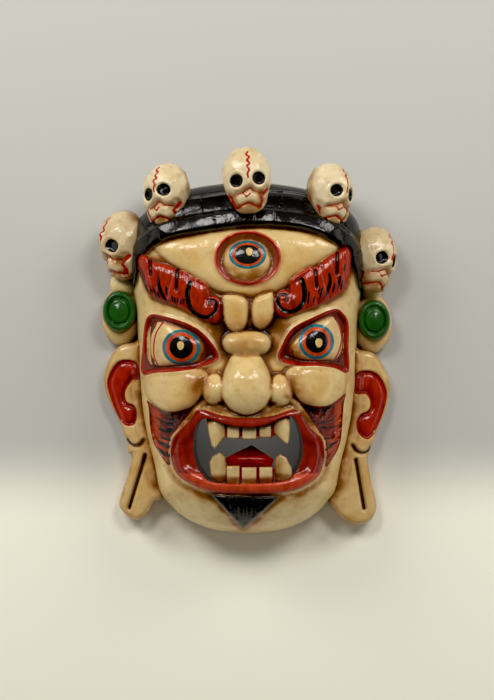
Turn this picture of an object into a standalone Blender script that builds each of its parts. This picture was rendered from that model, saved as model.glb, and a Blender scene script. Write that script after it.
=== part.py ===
"""A Bhairab mask: one block of wood, carved in front, hollowed behind and cut flat along its back.

The mask lies on its flat back, face up: +Z comes out of the face, +X is the viewer's right and +Y
points to the crown. Lengths are in millimetres until a mesh is made. The head is a pair of height
fields, the carved front and the hollow behind it; ears, discs, skulls, teeth and tongue are closed
forms that run into it, and one remesh turns them all into a single solid.
"""

import math

import bmesh
import bpy
import numpy as np
from mathutils import Euler, Matrix, Vector

MM = 0.001

# The head
FACE_FRONT = 77.0  # the plain front of the face, above the back
FACE_ROUND = 70.0  # how far in from the edge the front stops curving
FACE_FULLNESS = 2.5  # 2 is a quarter circle, more is a flatter front with steeper sides
HEAD_CENTRE = Vector((0.0, 4.7, 0.0))  # the carving's centre line, from the middle of the block
HEAD_HALF = [
    (0, -179.5), (20, -178), (40, -174), (60, -164), (74, -151), (83, -138), (88.5, -112),
    (93.5, -92), (98, -68), (100.5, -40), (102, 0), (104, 30), (107.5, 52), (108.5, 78), (106, 98),
    (99, 115), (79, 131), (54, 140), (23, 145), (0, 146.5),
]

# The hollow behind the face
HOLLOW_CENTRE_Y = -20.0
HOLLOW_HALF_WIDTH = 82.0
HOLLOW_HALF_HEIGHT = 135.0
HOLLOW_DEPTH = 58.0
HOLLOW_FULLNESS = 2.8
BELOW_BACK = 12.0  # what is modelled past the back, and then cut off
WALL_SLOPE = 8.0  # how steeply the outer walls fall

# The hair band
HAIR_STAND = 12.0
HAIR_STEPS = (16.5, 34.0)  # where its second and third rolls begin, from its lower edge
HAIR_STEP = 3.0
HAIR_GROOVE = 3.0  # the cut between two rolls

# The mouth's opening widens from the hollow to the lips
MOUTH_BACK = 36.0
MOUTH_FRONT = 97.0
MOUTH_WIDENING = 1.12

# Teeth: the side's middle, half width, root and tip, in x and y
TOOTH_FRONT = 84.0
TOOTH_THICKNESS = 13.0
UPPER_TEETH = [(-27.5, 8.2, -67, -97, 1), (-12.5, 5.9, -69, -88.5, 0), (1.7, 6.7, -71, -89, 0),
               (15.6, 5.3, -69, -87.5, 0), (30.2, 8.0, -66, -93.5, 1)]
LOWER_TEETH = [(-26, 8.3, -133, -100, 1), (-12.3, 5.5, -133, -112.5, 0), (1.4, 7.0, -133, -113.5, 0),
               (16.2, 6.4, -133, -113.5, 0), (32, 8.3, -133, -101.5, 1)]

TONGUE_CENTRE = (2, -115, 62)
TONGUE_RADII = (22, 20, 11)
TONGUE_TURN = (-12, 0, 0)

# The bosses of hair that carry the skulls, behind them
BOSSES = [((-0.5, 128, 62), (19, 24, 30)), ((-69, 122, 40), (21, 24, 30)),
          ((69, 122, 40), (21, 24, 30)), ((-105, 88, 20), (7, 15, 14)), ((106, 80, 20), (7, 15, 14))]

# The necks between the outer skulls and the pads below them
NECKS = [(-119, 53, 16), (120, 44, 16)]
NECK_RADII = (9, 12, 10)

# The skulls of the crown: centre, then pitch, yaw and roll in degrees, how far the sockets and
# jaw slant, in degrees, and size
SKULL_HALF_HEIGHT = 30.0
SKULLS = [
    ((-0.5, 140.6, 88), (-3, 1, 7), 0, 1.0),
    ((-73.5, 130, 62), (-2, -27, -7), 15, 0.98),
    ((74.5, 130, 62), (-2, 38, 5), -10, 0.97),
    ((-113.5, 87, 28), (-2, -57, 3), 3, 1.08),
    ((115.5, 74, 28), (-2, 42, -2), -8, 1.02),
]
# Half width and half depth of a skull, from the chin (-1) to the crown (1)
SKULL_LEVELS = (-1.0, -0.94, -0.72, -0.48, -0.2, 0.1, 0.4, 0.7, 0.9, 1.0)
SKULL_WIDTHS = (0.0, 9.5, 14.5, 17.5, 20.3, 21.8, 20.8, 16.0, 9.6, 0.0)
SKULL_DEPTHS = (0.0, 8.5, 14.0, 17.0, 19.5, 21.0, 20.5, 16.0, 9.5, 0.0)

# The ears and their discs stand beside the head
EAR_FRONT = 25.0
EAR_LEAN = 0.18  # how fast an ear's front falls back, away from the head
EAR_ROUND = 6.0
DISCS = [((-117.8, 26.2), (15.8, 19.5)), ((116.5, 18.0), (15.0, 19.0))]
PADS = [((-117.5, 22.5), (18.5, 28.0)), ((115.5, 15.5), (19.0, 28.0))]
PAD_FRONT = 24.0
DISC_FRONT = 33.0

GRID = 1.5  # spacing of the height fields
GRID_HALF = (142.0, 168.0)  # how far they reach from their middle
GRID_CENTRE_Y = -19.5
VOXEL = 1.3  # of the remesh that joins the forms
TRIANGLES = 9000


# ---- curves and distances -------------------------------------------------------------------

def mirrored(half):
    """A closed outline from its right half, which starts and ends on the centre line."""
    return half + [(-x, y) for x, y in half[-2:0:-1]]


def smooth(points, steps=4, closed=True):
    """A Catmull-Rom curve through the points."""
    points = np.array(points, float)
    if closed:
        around = np.concatenate([points[-1:], points, points[:2]])
    else:
        around = np.concatenate([points[:1], points, points[-1:]])
    spans = len(around) - 3
    t = np.linspace(0, 1, steps, endpoint=False)[:, None]
    runs = []
    for i in range(spans):
        a, b, c, d = around[i:i + 4]
        runs.append(
            b + 0.5 * t * (c - a + t * (2 * a - 5 * b + 4 * c - d + t * (3 * (b - c) + d - a)))
        )
    if not closed:
        runs.append(points[-1:])
    return np.concatenate(runs)


def depth_inside(outline, x, y, reach=15.0):
    """How far each point lies inside the outline: negative outside, and no lower than -reach."""
    depth = np.full(x.shape, -reach)
    low, high = outline.min(axis=0) - reach, outline.max(axis=0) + reach
    near = (x > low[0]) & (x < high[0]) & (y > low[1]) & (y < high[1])
    px, py = x[near], y[near]
    nearest = np.full(px.shape, np.inf)
    inside = np.zeros(px.shape, bool)
    for (ax, ay), (bx, by) in zip(outline, np.roll(outline, -1, axis=0)):
        ex, ey = bx - ax, by - ay
        along = np.clip(((px - ax) * ex + (py - ay) * ey) / (ex * ex + ey * ey), 0, 1)
        nearest = np.minimum(nearest, (px - ax - along * ex) ** 2 + (py - ay - along * ey) ** 2)
        crosses = (ay > py) != (by > py)
        inside ^= crosses & (px < ax + (py - ay) * ex / (ey if ey else 1.0))
    depth[near] = np.where(inside, 1, -1) * np.sqrt(nearest)
    return np.maximum(depth, -reach)


def distance_from(path, x, y, reach=15.0):
    """How far each point lies from the path, and no more than reach."""
    distance = np.full(x.shape, reach)
    low, high = path.min(axis=0) - reach, path.max(axis=0) + reach
    near = (x > low[0]) & (x < high[0]) & (y > low[1]) & (y < high[1])
    px, py = x[near], y[near]
    nearest = np.full(px.shape, reach * reach)
    for (ax, ay), (bx, by) in zip(path[:-1], path[1:]):
        ex, ey = bx - ax, by - ay
        along = np.clip(((px - ax) * ex + (py - ay) * ey) / (ex * ex + ey * ey), 0, 1)
        nearest = np.minimum(nearest, (px - ax - along * ex) ** 2 + (py - ay - along * ey) ** 2)
    distance[near] = np.sqrt(nearest)
    return distance


def ramp(value, low, high):
    """0 below low, 1 above high, eased between."""
    t = np.clip((value - low) / (high - low), 0, 1)
    return t * t * (3 - 2 * t)


def pillow(depth, radius):
    """A quarter-round edge: 0 at the outline, 1 from radius inwards."""
    return np.sqrt(1 - (1 - np.clip(depth / radius, 0, 1)) ** 2)


def groove(distance, width):
    """A round-bottomed cut: 1 in its middle, 0 past half its width."""
    return 1 - ramp(distance, 0, width / 2)


def ball(x, y, centre, radii):
    """The upper half of an ellipsoid, and far below where it isn't."""
    plan = ((x - centre[0]) / radii[0]) ** 2 + ((y - centre[1]) / radii[1]) ** 2
    return np.where(plan < 1, centre[2] + radii[2] * np.sqrt(np.maximum(1 - plan, 0)), -1000.0)


def steep(depth, top):
    """The top inside the outline, and a wall that drops away steeply outside it."""
    return np.maximum(top + WALL_SLOPE * np.minimum(depth, 0), -BELOW_BACK / 2)


def mound(x, y, centre, radii):
    """A soft rise: 1 at its centre, 0 with no crease at its edge."""
    plan = ((x - centre[0]) / radii[0]) ** 2 + ((y - centre[1]) / radii[1]) ** 2
    return np.maximum(1 - plan, 0) ** 1.5


def reach_of(outline, centre, heading):
    """How far the outline lies from the centre at each heading."""
    start = np.array(outline, float) - centre
    steps = np.linspace(0, 1, 12, endpoint=False)[:, None, None]
    out = (start + steps * (np.roll(start, -1, axis=0) - start)).reshape(-1, 2)
    angles = np.arctan2(out[:, 1], out[:, 0])
    order = np.argsort(angles)
    return np.interp(heading, angles[order], np.hypot(out[:, 0], out[:, 1])[order],
                     period=2 * math.pi)


def swell(outline, centre, x, y, power):
    """A swelling: 1 over the centre, 0 at the outline; and where each point lies, 0 to 1."""
    away = np.hypot(x - centre[0], y - centre[1])
    reach = away / reach_of(outline, centre, np.arctan2(y - centre[1], x - centre[0]))
    return np.maximum(1 - reach ** power, 0) ** (1 / power), reach


def roll(depth, low, rise, radius):
    """A bolster with quarter-round edges that rises from low, and falls away outside."""
    return low + rise * pillow(depth, radius) + 20 * np.minimum(depth, 0)


def higher(a, b, blend=3.0):
    """The higher of two surfaces, with the corner between them filled over the blend."""
    near = np.maximum(blend - np.abs(a - b), 0) / blend
    return np.maximum(a, b) + near * near * blend / 4


# ---- outlines of the carving ----------------------------------------------------------------

HEAD = smooth(mirrored(HEAD_HALF))
FOREHEAD = smooth([(-84, 83), (-54, 92), (0, 99.5), (56, 95), (82, 82), (56, 62), (29, 43),
                   (0, 35), (-30, 44), (-58, 60)])
HAIR = smooth([(-108, 47), (-112, 90), (-104, 125), (-60, 150), (0, 155), (60, 150), (104, 125),
               (112, 90), (108, 42), (101, 46), (96, 62), (84, 81), (58, 94.5), (28, 99.5),
               (0, 99.5), (-34, 95.5), (-70, 89), (-91, 77), (-98, 62), (-101, 50)])
HAIR_EDGE = smooth([(-101, 48), (-98, 62), (-91, 77), (-70, 89), (-34, 95.5), (0, 99.5),
                    (28, 99.5), (58, 94.5), (84, 81), (96, 62), (101, 46)], closed=False)
BROW_LEFT = smooth([(-97.5, 74), (-98, 66), (-95, 55), (-89, 42), (-77.5, 35), (-60, 29),
                    (-48.5, 22.5), (-37.5, 17.5), (-28.5, 15), (-23.5, 19), (-22, 26), (-23, 33.5),
                    (-27, 37.5), (-32, 38), (-34.5, 35), (-34, 40), (-35.5, 46), (-42, 52),
                    (-48, 53.5), (-54.5, 58.5), (-63, 61.5), (-71, 65.2), (-77.5, 67), (-85, 70),
                    (-91.5, 75)], 4)
BROW_RIGHT = smooth([(88.5, 82.5), (84, 80), (77.5, 76), (68.5, 70), (63, 65.3), (59.5, 63.2),
                     (54, 62.3), (44.5, 57), (39, 51.5), (37.7, 46), (37.7, 41), (33, 43.5),
                     (27.5, 40.8), (24, 34.8), (25, 24), (31.5, 20), (40, 22.5), (51, 26.5),
                     (62, 30), (73, 35.5), (83, 41.5), (87.5, 46), (91, 57), (92.5, 68),
                     (92, 78)], 4)
BROW_SLOTS = [((-87, 70.5), (-86.3, 58)), ((-62.5, 61), (-63, 44.5)),
              ((80.2, 77), (79.8, 59)), ((60.3, 61), (61.4, 47))]
RING_CENTRE = (0.0, 72.0)
RING_RADII = (28.5, 23.5)
EYE_LEFT = smooth([(-87, 22), (-73, 20), (-52, 13), (-37, 2.5), (-26, -16), (-43, -24.5),
                   (-62, -28), (-80, -29), (-96, -30), (-95, -6), (-92.5, 14)])
EYE_RIGHT = smooth([(78, 27), (60, 20), (41, 10), (32, -3), (28, -18), (45, -23), (60, -23),
                    (77, -25), (91, -29), (91, -6), (91, 14), (86, 23)])
EYEBALL_LEFT = smooth([(-79, 16), (-88, 9), (-90, -8), (-85, -23), (-62, -24), (-42, -21.5),
                       (-35.5, -13), (-41, 0), (-57, 9.5)])
EYEBALL_RIGHT = smooth([(74, 20.5), (82, 15), (86, 0), (82, -15), (70, -19.5), (50, -19),
                        (37, -14), (37, -5), (49, 8.5)])
PAD_LEFT = smooth([(-22.3, 37), (-18.7, 39.8), (-10, 39.5), (-3, 37.3), (0.3, 33.5), (1.1, 23.5),
                   (0, 14.5), (-4, 8), (-10, 6), (-15.5, 8.2), (-19.5, 14.5), (-21.6, 24.5)])
PAD_RIGHT = smooth([(3.6, 30), (5, 35), (9, 38), (15.4, 40.3), (22.2, 41.2), (23.2, 32.4),
                    (22.8, 21.4), (19.3, 13.5), (13.2, 9), (7.7, 9.8), (4.2, 14.8), (3.2, 23.6)])
BRIDGE = smooth([(-22.5, -2), (-18, 5), (-8, 8), (6, 8), (16, 5), (21, -2), (18, -11), (8, -15),
                 (-9, -15), (-19, -11)])
NOSE = smooth([(-12.5, -12), (-17.5, -21), (-22, -32), (-24, -43), (-22.8, -52), (-17, -60.5),
               (-9, -66), (-1, -67.8), (7, -66), (15, -60.5), (21, -52), (22, -43), (20.5, -32),
               (15.5, -21), (10, -12), (0, -9.5)])
NOSE_CENTRE = (-1, -44)
NOSE_ROOT = ((0, -23, 68), (29, 27, 14))  # the saddle that the nose grows from
WINGS = [(-1, (-29.5, -43, 77), (13.5, 15.5, 17)), (1, (28.5, -43.5, 77), (13.5, 16.5, 17))]
CHEEK_LEFT = smooth([(-94, -30), (-93, -48), (-82, -60), (-67, -65), (-50, -60), (-38, -46),
                     (-35, -30), (-52, -25), (-73, -26)])
CHEEK_RIGHT = smooth([(89, -31), (88, -47), (76, -59), (62, -61.5), (47, -55), (37, -42),
                      (34, -28), (52, -21), (73, -23)])
FLAME_LEFT = smooth([(-91.5, -54.5), (-90, -62), (-89.5, -71.5), (-89, -78.5), (-87.5, -87.5),
                     (-85.5, -94.5), (-81, -101.5), (-76, -108.5), (-70.3, -113.5), (-66, -104),
                     (-65, -94), (-65.5, -87), (-62.8, -81.4), (-58.3, -74.6), (-53.3, -69),
                     (-49, -60.5), (-60, -63), (-70, -65), (-80, -62.5)])
FLAME_RIGHT = smooth([(89.2, -48.5), (87.5, -57), (86.8, -67), (86.2, -76), (85.7, -84),
                      (84.8, -92), (82, -100), (77.5, -107), (70.3, -115), (67, -104),
                      (66, -94.5), (65.5, -87), (60.8, -78.5), (55.2, -70.5), (49, -61),
                      (46.5, -56.5), (62, -59), (73, -58), (80, -54)])
LIPS = smooth([(-43, -61), (-23, -66.5), (0, -69), (22, -66.8), (43.5, -61.5), (56, -77.5),
               (66.5, -87.5), (69, -97), (69, -109), (62.5, -124), (40, -135.5), (4, -137.5),
               (-32, -136), (-54.5, -127.5), (-65, -118.5), (-69, -106), (-69, -96), (-66, -86),
               (-51, -70.5)])
MOUTH = smooth([(-35, -70), (-16, -75.5), (0, -77.5), (16, -75), (35, -68), (43, -80), (46, -95),
                (45, -107), (40, -118), (29, -126), (0, -128), (-30, -126.5), (-39, -118),
                (-43.5, -108), (-45, -95), (-43, -79)])
FLAME_LOCKS = [  # the cuts between one lock of flame and the next
    [(-87.3, -69.4), (-84.8, -75.6), (-78, -79.4)], [(-87.1, -77), (-84.3, -82.5), (-77, -86)],
    [(-86, -83), (-83.3, -88.5), (-76, -92)], [(-83.5, -90), (-80.4, -95), (-74, -98.5)],
    [(73.6, -59.5), (68.4, -64), (65.4, -71.5)], [(84.5, -70), (79, -74.5), (70, -76.5)],
    [(84, -79), (78.1, -83.3), (76.5, -90)], [(83, -89), (77, -93), (71, -94)],
]
GOATEE = np.array([(-30, -139), (0, -140), (27, -140.5), (-4, -169.5)], float)
EAR_LEFT = smooth([(-92, 2), (-104, -2), (-119, -6), (-128, -18), (-133, -34), (-130.5, -52),
                   (-118, -76), (-114, -89), (-110.5, -97), (-110.5, -105), (-107, -107),
                   (-111.5, -127), (-118.5, -149), (-117, -157), (-110, -163.5), (-101.5, -166.5),
                   (-93.5, -161), (-86, -149.5), (-76, -138), (-80, -60)])
EAR_RIGHT = smooth([(92, -6), (104, -9), (117, -12.5), (125.5, -23.5), (131, -36.5), (132, -47),
                    (129, -62.5), (123, -77), (117, -92), (113.5, -102.5), (111.5, -110),
                    (114.5, -130), (119.5, -152), (118, -162), (111.5, -168.5), (99.5, -170.5),
                    (88, -165), (80.5, -156.5), (74, -142), (80, -60)])
EAR_BOWL_LEFT = smooth([(-101, -21.5), (-112, -18), (-122, -22), (-130, -38), (-127, -54),
                        (-119, -73), (-112, -79.5), (-104, -78), (-101.5, -69), (-104, -60.5),
                        (-111, -57), (-112.5, -48), (-106, -37.5), (-99, -36)])
EAR_BOWL_RIGHT = smooth([(98.5, -32), (111.5, -28), (122, -33), (129, -47), (128, -60),
                         (122.5, -76), (116, -89), (109, -92), (102, -86), (100, -76),
                         (104, -68.5), (111, -65), (113, -58), (109, -50.5), (98, -49)])
EAR_SLITS = [((-94.5, -108), (-109, -155)), ((100, -112), (107.5, -156))]
EAR_CREASES = [smooth([(-112, -93), (-104.5, -97), (-97, -89)], closed=False),
               smooth([(96.5, -95.5), (105, -104.5), (114, -100.5)], closed=False)]
FOLDS = [smooth([(-35, -52), (-44, -60), (-55, -72), (-66, -88), (-71.5, -108)], closed=False),
         smooth([(34, -50), (44, -57), (54, -69), (65, -84), (71, -108)], closed=False)]


# ---- the head -------------------------------------------------------------------------------

def dome(x, y):
    """The uncarved head: steep sides that round over to a broad front."""
    depth = depth_inside(HEAD, x, y)
    edge = 1 - np.clip(depth / FACE_ROUND, 0, 1)
    return steep(depth, FACE_FRONT * (1 - edge ** FACE_FULLNESS) ** (1 / FACE_FULLNESS))


def add_brows_and_forehead(z, x, y):
    z = z + 6 * pillow(depth_inside(FOREHEAD, x, y), 16)
    ring = 25 * (np.hypot((x - RING_CENTRE[0]) / RING_RADII[0],
                          (y - RING_CENTRE[1]) / RING_RADII[1]) - 1)
    z = z + 1.6 * groove(np.abs(ring), 5) - 4.5 * (1 - ramp(ring, -8, -0.5))
    z = z + 8 * np.sqrt(np.maximum(1 - (x / 23) ** 2 - ((y - 70) / 19.5) ** 2, 0))
    brows = [depth_inside(BROW_LEFT, x, y), depth_inside(BROW_RIGHT, x, y)]
    for depth in brows:
        z = z + (6 + 7 * ramp(np.abs(x), 70, 96)) * pillow(depth + 1, 4) + 1.5 * ramp(depth, 1, 8)
    for ends in BROW_SLOTS:
        z = z - 5 * groove(distance_from(np.array(ends, float), x, y), 6)
    return z


def add_eyes(z, x, y):
    for rim, eyeball in ((EYE_LEFT, EYEBALL_LEFT), (EYE_RIGHT, EYEBALL_RIGHT)):
        depth = depth_inside(rim, x, y)
        z = z + 2 * groove(np.abs(depth), 8) - 5 * ramp(depth, 0, 6)
        z = z + 9 * pillow(depth_inside(eyeball, x, y), 20)
    return z


def add_cheeks_and_nose(z, x, y):
    for cheek in (CHEEK_LEFT, CHEEK_RIGHT):
        z = z + 13.5 * pillow(depth_inside(cheek, x, y), 20)
    for fold in FOLDS:
        z = z + 3.5 * groove(distance_from(fold, x, y), 9)
    for pad in (PAD_LEFT, PAD_RIGHT):
        z = higher(z, roll(depth_inside(pad, x, y), 82, 10, 8), 1.5)
    z = higher(z, ball(x, y, *NOSE_ROOT), 6.0)
    z = higher(z, roll(depth_inside(BRIDGE, x, y), 80, 13, 10), 2.0)
    for side, centre, radii in WINGS:
        z = higher(z, ball(x, y, centre, radii), 6.0)
        z = z - 4 * groove(np.hypot(x - centre[0] + 6 * side, y + 57), 6)
    rise, reach = swell(NOSE, NOSE_CENTRE, x, y, 2.2)
    return higher(z, 80 + (15 + 9 * ramp(-y, 8, 36)) * rise - 60 * np.maximum(reach - 1, 0), 8.0)


def add_mouth(z, x, y):
    z = z + 11 * mound(x, y, (0, -98), (95, 80))
    for flame in (FLAME_LEFT, FLAME_RIGHT):
        z = z - 3 * ramp(depth_inside(flame, x, y), 0, 3)
    for lock in FLAME_LOCKS:
        z = z - 2.4 * groove(distance_from(np.array(lock, float), x, y), 6)
    lips = depth_inside(LIPS, x, y)
    z = z + 4 * pillow(lips, 5) - 5 * ramp(lips, 7, 16)
    return z + 4 * pillow(depth_inside(GOATEE, x, y), 3)


def add_hair(z, x, y):
    """Three rolls of hair, the lowest standing furthest out over the forehead."""
    up = distance_from(HAIR_EDGE, x, y, 60.0)
    rolls = HAIR_STAND - sum(HAIR_STEP * ramp(up, step, step + 3)
                             + HAIR_GROOVE * groove(np.abs(up - step), 5) for step in HAIR_STEPS)
    brow = np.maximum(depth_inside(BROW_LEFT, x, y), depth_inside(BROW_RIGHT, x, y))
    rolls = rolls * ramp(-brow, 0, 3)
    return z + rolls * pillow(depth_inside(HAIR, x, y), 5) * ramp(depth_inside(HEAD, x, y), 0, 4)


def ears(x, y):
    """The ear plates, each with a sunk bowl, a crease, a slit lobe and a disc on a pad above."""
    z = np.full(x.shape, -BELOW_BACK / 2)
    for outline, bowl in ((EAR_LEFT, EAR_BOWL_LEFT), (EAR_RIGHT, EAR_BOWL_RIGHT)):
        depth = depth_inside(outline, x, y)
        plate = EAR_FRONT - EAR_LEAN * (np.abs(x) - 100) - 7 * (1 - pillow(depth, EAR_ROUND))
        plate = plate - 4 * ramp(depth_inside(bowl, x, y), -1, 2)
        z = np.maximum(z, steep(depth, plate))
    for ends in EAR_SLITS:
        z = z - 5 * groove(distance_from(np.array(ends, float), x, y), 6)
    for crease in EAR_CREASES:
        z = z - 4 * groove(distance_from(crease, x, y), 5)
    for (centre, radii), (middle, size) in zip(PADS, DISCS):
        pad = 1 - np.hypot((x - centre[0]) / radii[0], (y - centre[1]) / radii[1])
        z = np.maximum(z, steep(pad * min(radii), PAD_FRONT - 16 * (1 - pillow(pad, 0.7))))
        disc = 1 - np.hypot((x - middle[0]) / size[0], (y - middle[1]) / size[1])
        step = (DISC_FRONT - PAD_FRONT) * pillow(disc, 0.2) - 2.5 * groove(np.abs(disc - 0.3), 0.3)
        z = np.where(disc > 0, PAD_FRONT + step, z)
    return z


def carved_front(x, y):
    z = dome(x, y)
    for carve in (add_brows_and_forehead, add_eyes, add_mouth, add_cheeks_and_nose, add_hair):
        z = carve(z, x, y)
    return np.maximum(ears(x, y), z)


def hollow_back(x, y):
    plan = (np.abs(x) / HOLLOW_HALF_WIDTH) ** HOLLOW_FULLNESS
    plan = plan + (np.abs(y - HOLLOW_CENTRE_Y) / HOLLOW_HALF_HEIGHT) ** HOLLOW_FULLNESS
    inside = HOLLOW_DEPTH * np.maximum(1 - plan, 0) ** (1 / HOLLOW_FULLNESS)
    return np.where(plan < 1, inside, -BELOW_BACK)


# ---- closed forms ---------------------------------------------------------------------------

def points_of(bm):
    return np.array([vertex.co for vertex in bm.verts])


def put_points(bm, points):
    for vertex, point in zip(bm.verts, points):
        vertex.co = point


def to_object(bm, name):
    """A mesh object in metres, with faces out, from a closed bmesh in millimetres."""
    bmesh.ops.translate(bm, verts=bm.verts, vec=HEAD_CENTRE)
    bmesh.ops.scale(bm, verts=bm.verts, vec=(MM, MM, MM))
    bmesh.ops.recalc_face_normals(bm, faces=bm.faces)
    mesh = bpy.data.meshes.new(name)
    bm.to_mesh(mesh)
    bm.free()
    made = bpy.data.objects.new(name, mesh)
    bpy.context.scene.collection.objects.link(made)
    return made


def make_head():
    """A grid with the carved front on one side and the hollow on the other."""
    half_x, half_y = GRID_HALF
    bm = bmesh.new()
    bmesh.ops.create_grid(bm, x_segments=round(2 * half_x / GRID),
                          y_segments=round(2 * half_y / GRID), size=1.0)
    bmesh.ops.scale(bm, verts=bm.verts, vec=(half_x, half_y, 1.0))
    bmesh.ops.translate(bm, verts=bm.verts, vec=(0, GRID_CENTRE_Y, 0))
    extruded = bmesh.ops.extrude_face_region(bm, geom=bm.faces[:])
    front = [item for item in extruded["geom"] if isinstance(item, bmesh.types.BMVert)]
    fronts = set(front)
    backs = [vertex for vertex in bm.verts if vertex not in fronts]
    for vertices, surface in ((front, carved_front), (backs, hollow_back)):
        plan = np.array([vertex.co for vertex in vertices])
        plan[:, 2] = surface(plan[:, 0], plan[:, 1])
        for vertex, point in zip(vertices, plan):
            vertex.co = point
    return to_object(bm, "head")


def make_slab(name, outline, low, high, widening=1.0):
    """A closed block: an outline, extruded between two heights, and widened towards the front."""
    bm = bmesh.new()
    face = bm.faces.new([bm.verts.new((x, y, low)) for x, y in outline])
    top = bmesh.ops.extrude_face_region(bm, geom=[face])
    lifted = [item for item in top["geom"] if isinstance(item, bmesh.types.BMVert)]
    bmesh.ops.translate(bm, verts=lifted, vec=(0, 0, high - low))
    bmesh.ops.scale(bm, verts=lifted, vec=(widening, 1, 1))
    return to_object(bm, name)


def tooth_outline(middle, half, root, tip, pointed):
    """A peg with round corners, or a fang whose sides curve in to its tip."""
    levels = np.linspace(0, 1, 9)
    if pointed:
        widths = half * np.sqrt(np.maximum(1 - levels ** 1.8, 0.012))
    else:
        widths = half * (1 - 0.25 * levels ** 6)
    heights = root + (tip - root) * levels
    right = list(zip(middle + widths, heights))
    left = list(zip(middle - widths, heights))
    return right + left[::-1]


def make_ball(name, centre, radii, turn=(0, 0, 0)):
    bm = bmesh.new()
    place = Matrix.Translation(centre) @ Euler([math.radians(a) for a in turn]).to_matrix().to_4x4()
    bmesh.ops.create_icosphere(bm, subdivisions=4, radius=1.0,
                               matrix=place @ Matrix.Diagonal((*radii, 1.0)))
    return to_object(bm, name)


def make_skull(name, centre, turn, slant, size):
    """An egg-shaped cranium on a narrow jaw, with hollow sockets, cheeks and mouth."""
    bm = bmesh.new()
    bmesh.ops.create_uvsphere(bm, u_segments=48, v_segments=40, radius=1.0,
                              matrix=Matrix.Rotation(-math.pi / 2, 4, "X"))
    unit = points_of(bm)
    level = np.clip(unit[:, 1], -1, 1)
    around = np.maximum(np.hypot(unit[:, 0], unit[:, 2]), 1e-6)
    x = np.interp(level, SKULL_LEVELS, SKULL_WIDTHS) * unit[:, 0] / around
    z = np.interp(level, SKULL_LEVELS, SKULL_DEPTHS) * unit[:, 2] / around
    y = SKULL_HALF_HEIGHT * level
    front = ramp(z, 0, 8)
    slant = math.radians(slant)
    u = x * math.cos(slant) + y * math.sin(slant)
    v = y * math.cos(slant) - x * math.sin(slant)
    for side in (-1, 1):
        z = z - front * 5 * groove(np.hypot(u - side * 10.3, v), 15)
        z = z - front * 3.5 * groove(np.hypot(u - side * 14, (v + 18) / 1.6), 9)
    z = z - front * 3 * groove(np.hypot((u + 1.2) / 1.3, v + 26), 9)
    put_points(bm, np.stack([x, y, z], axis=1) * size)
    bmesh.ops.rotate(bm, verts=bm.verts,
                     matrix=Euler([math.radians(angle) for angle in turn], "XYZ").to_matrix())
    bmesh.ops.translate(bm, verts=bm.verts, vec=centre)
    return to_object(bm, name)


def evaluated(made):
    graph = bpy.context.evaluated_depsgraph_get()
    return bpy.data.meshes.new_from_object(made.evaluated_get(graph))


def join(forms, name):
    """One object from the forms as they are evaluated, which are then removed."""
    bm = bmesh.new()
    for form in forms:
        bm.from_mesh(evaluated(form))
        bpy.data.objects.remove(form, do_unlink=True)
    mesh = bpy.data.meshes.new(name)
    bm.to_mesh(mesh)
    bm.free()
    made = bpy.data.objects.new(name, mesh)
    bpy.context.scene.collection.objects.link(made)
    return made


# ---- the scene ------------------------------------------------------------------------------

for old in list(bpy.data.objects):
    bpy.data.objects.remove(old, do_unlink=True)

head = make_head()
mouth = make_slab("mouth_cutter", MOUTH, MOUTH_BACK, MOUTH_FRONT, MOUTH_WIDENING)
opening = head.modifiers.new("mouth", "BOOLEAN")
opening.operation = "DIFFERENCE"
opening.object = mouth

forms = [head]
for index, tooth in enumerate(UPPER_TEETH + LOWER_TEETH):
    outline = tooth_outline(*tooth)
    forms.append(make_slab(f"tooth_{index}", outline, TOOTH_FRONT - TOOTH_THICKNESS, TOOTH_FRONT))
forms.append(make_ball("tongue", TONGUE_CENTRE, TONGUE_RADII, TONGUE_TURN))
for index, skull in enumerate(SKULLS):
    forms.append(make_skull(f"skull_{index}", *skull))
for index, (centre, radii) in enumerate(BOSSES):
    forms.append(make_ball(f"boss_{index}", centre, radii))
for index, centre in enumerate(NECKS):
    forms.append(make_ball(f"neck_{index}", centre, NECK_RADII))
mask = join(forms, "mask")

back = make_slab("back_cutter", [(-200, -250), (200, -250), (200, 250), (-200, 250)], -60, 0)
for cutter in (mouth, back):
    cutter.hide_render = True
    cutter.display_type = "WIRE"
remesh = mask.modifiers.new("one solid", "REMESH")
remesh.mode = "VOXEL"
remesh.voxel_size = VOXEL * MM
soften = mask.modifiers.new("soften", "SMOOTH")
soften.iterations = 2
faces = len(evaluated(mask).polygons)
lighten = mask.modifiers.new("lighten", "DECIMATE")
lighten.ratio = TRIANGLES / (2 * faces)
flatten = mask.modifiers.new("flat back", "BOOLEAN")
flatten.operation = "DIFFERENCE"
flatten.object = back

paint = bpy.data.materials.new("painted wood")
paint.use_nodes = True
shader = paint.node_tree.nodes["Principled BSDF"]
shader.inputs["Base Color"].default_value = (0.62, 0.45, 0.2, 1.0)
shader.inputs["Roughness"].default_value = 0.35
shader.inputs["Metallic"].default_value = 0.0
mask.data.materials.append(paint)
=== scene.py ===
"""The finish of a Bhairab mask: carved wood under tempera, brown wash and painted shade, varnish.

The mask lies on its flat back and looks up, with its crown towards +Y. Lengths are in millimetres
until a mesh is made. x and y are measured from the carving's own centre line, z from its back.
"""
import math

import bmesh
import bpy
import numpy as np
from mathutils import Euler, Matrix, Vector


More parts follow.
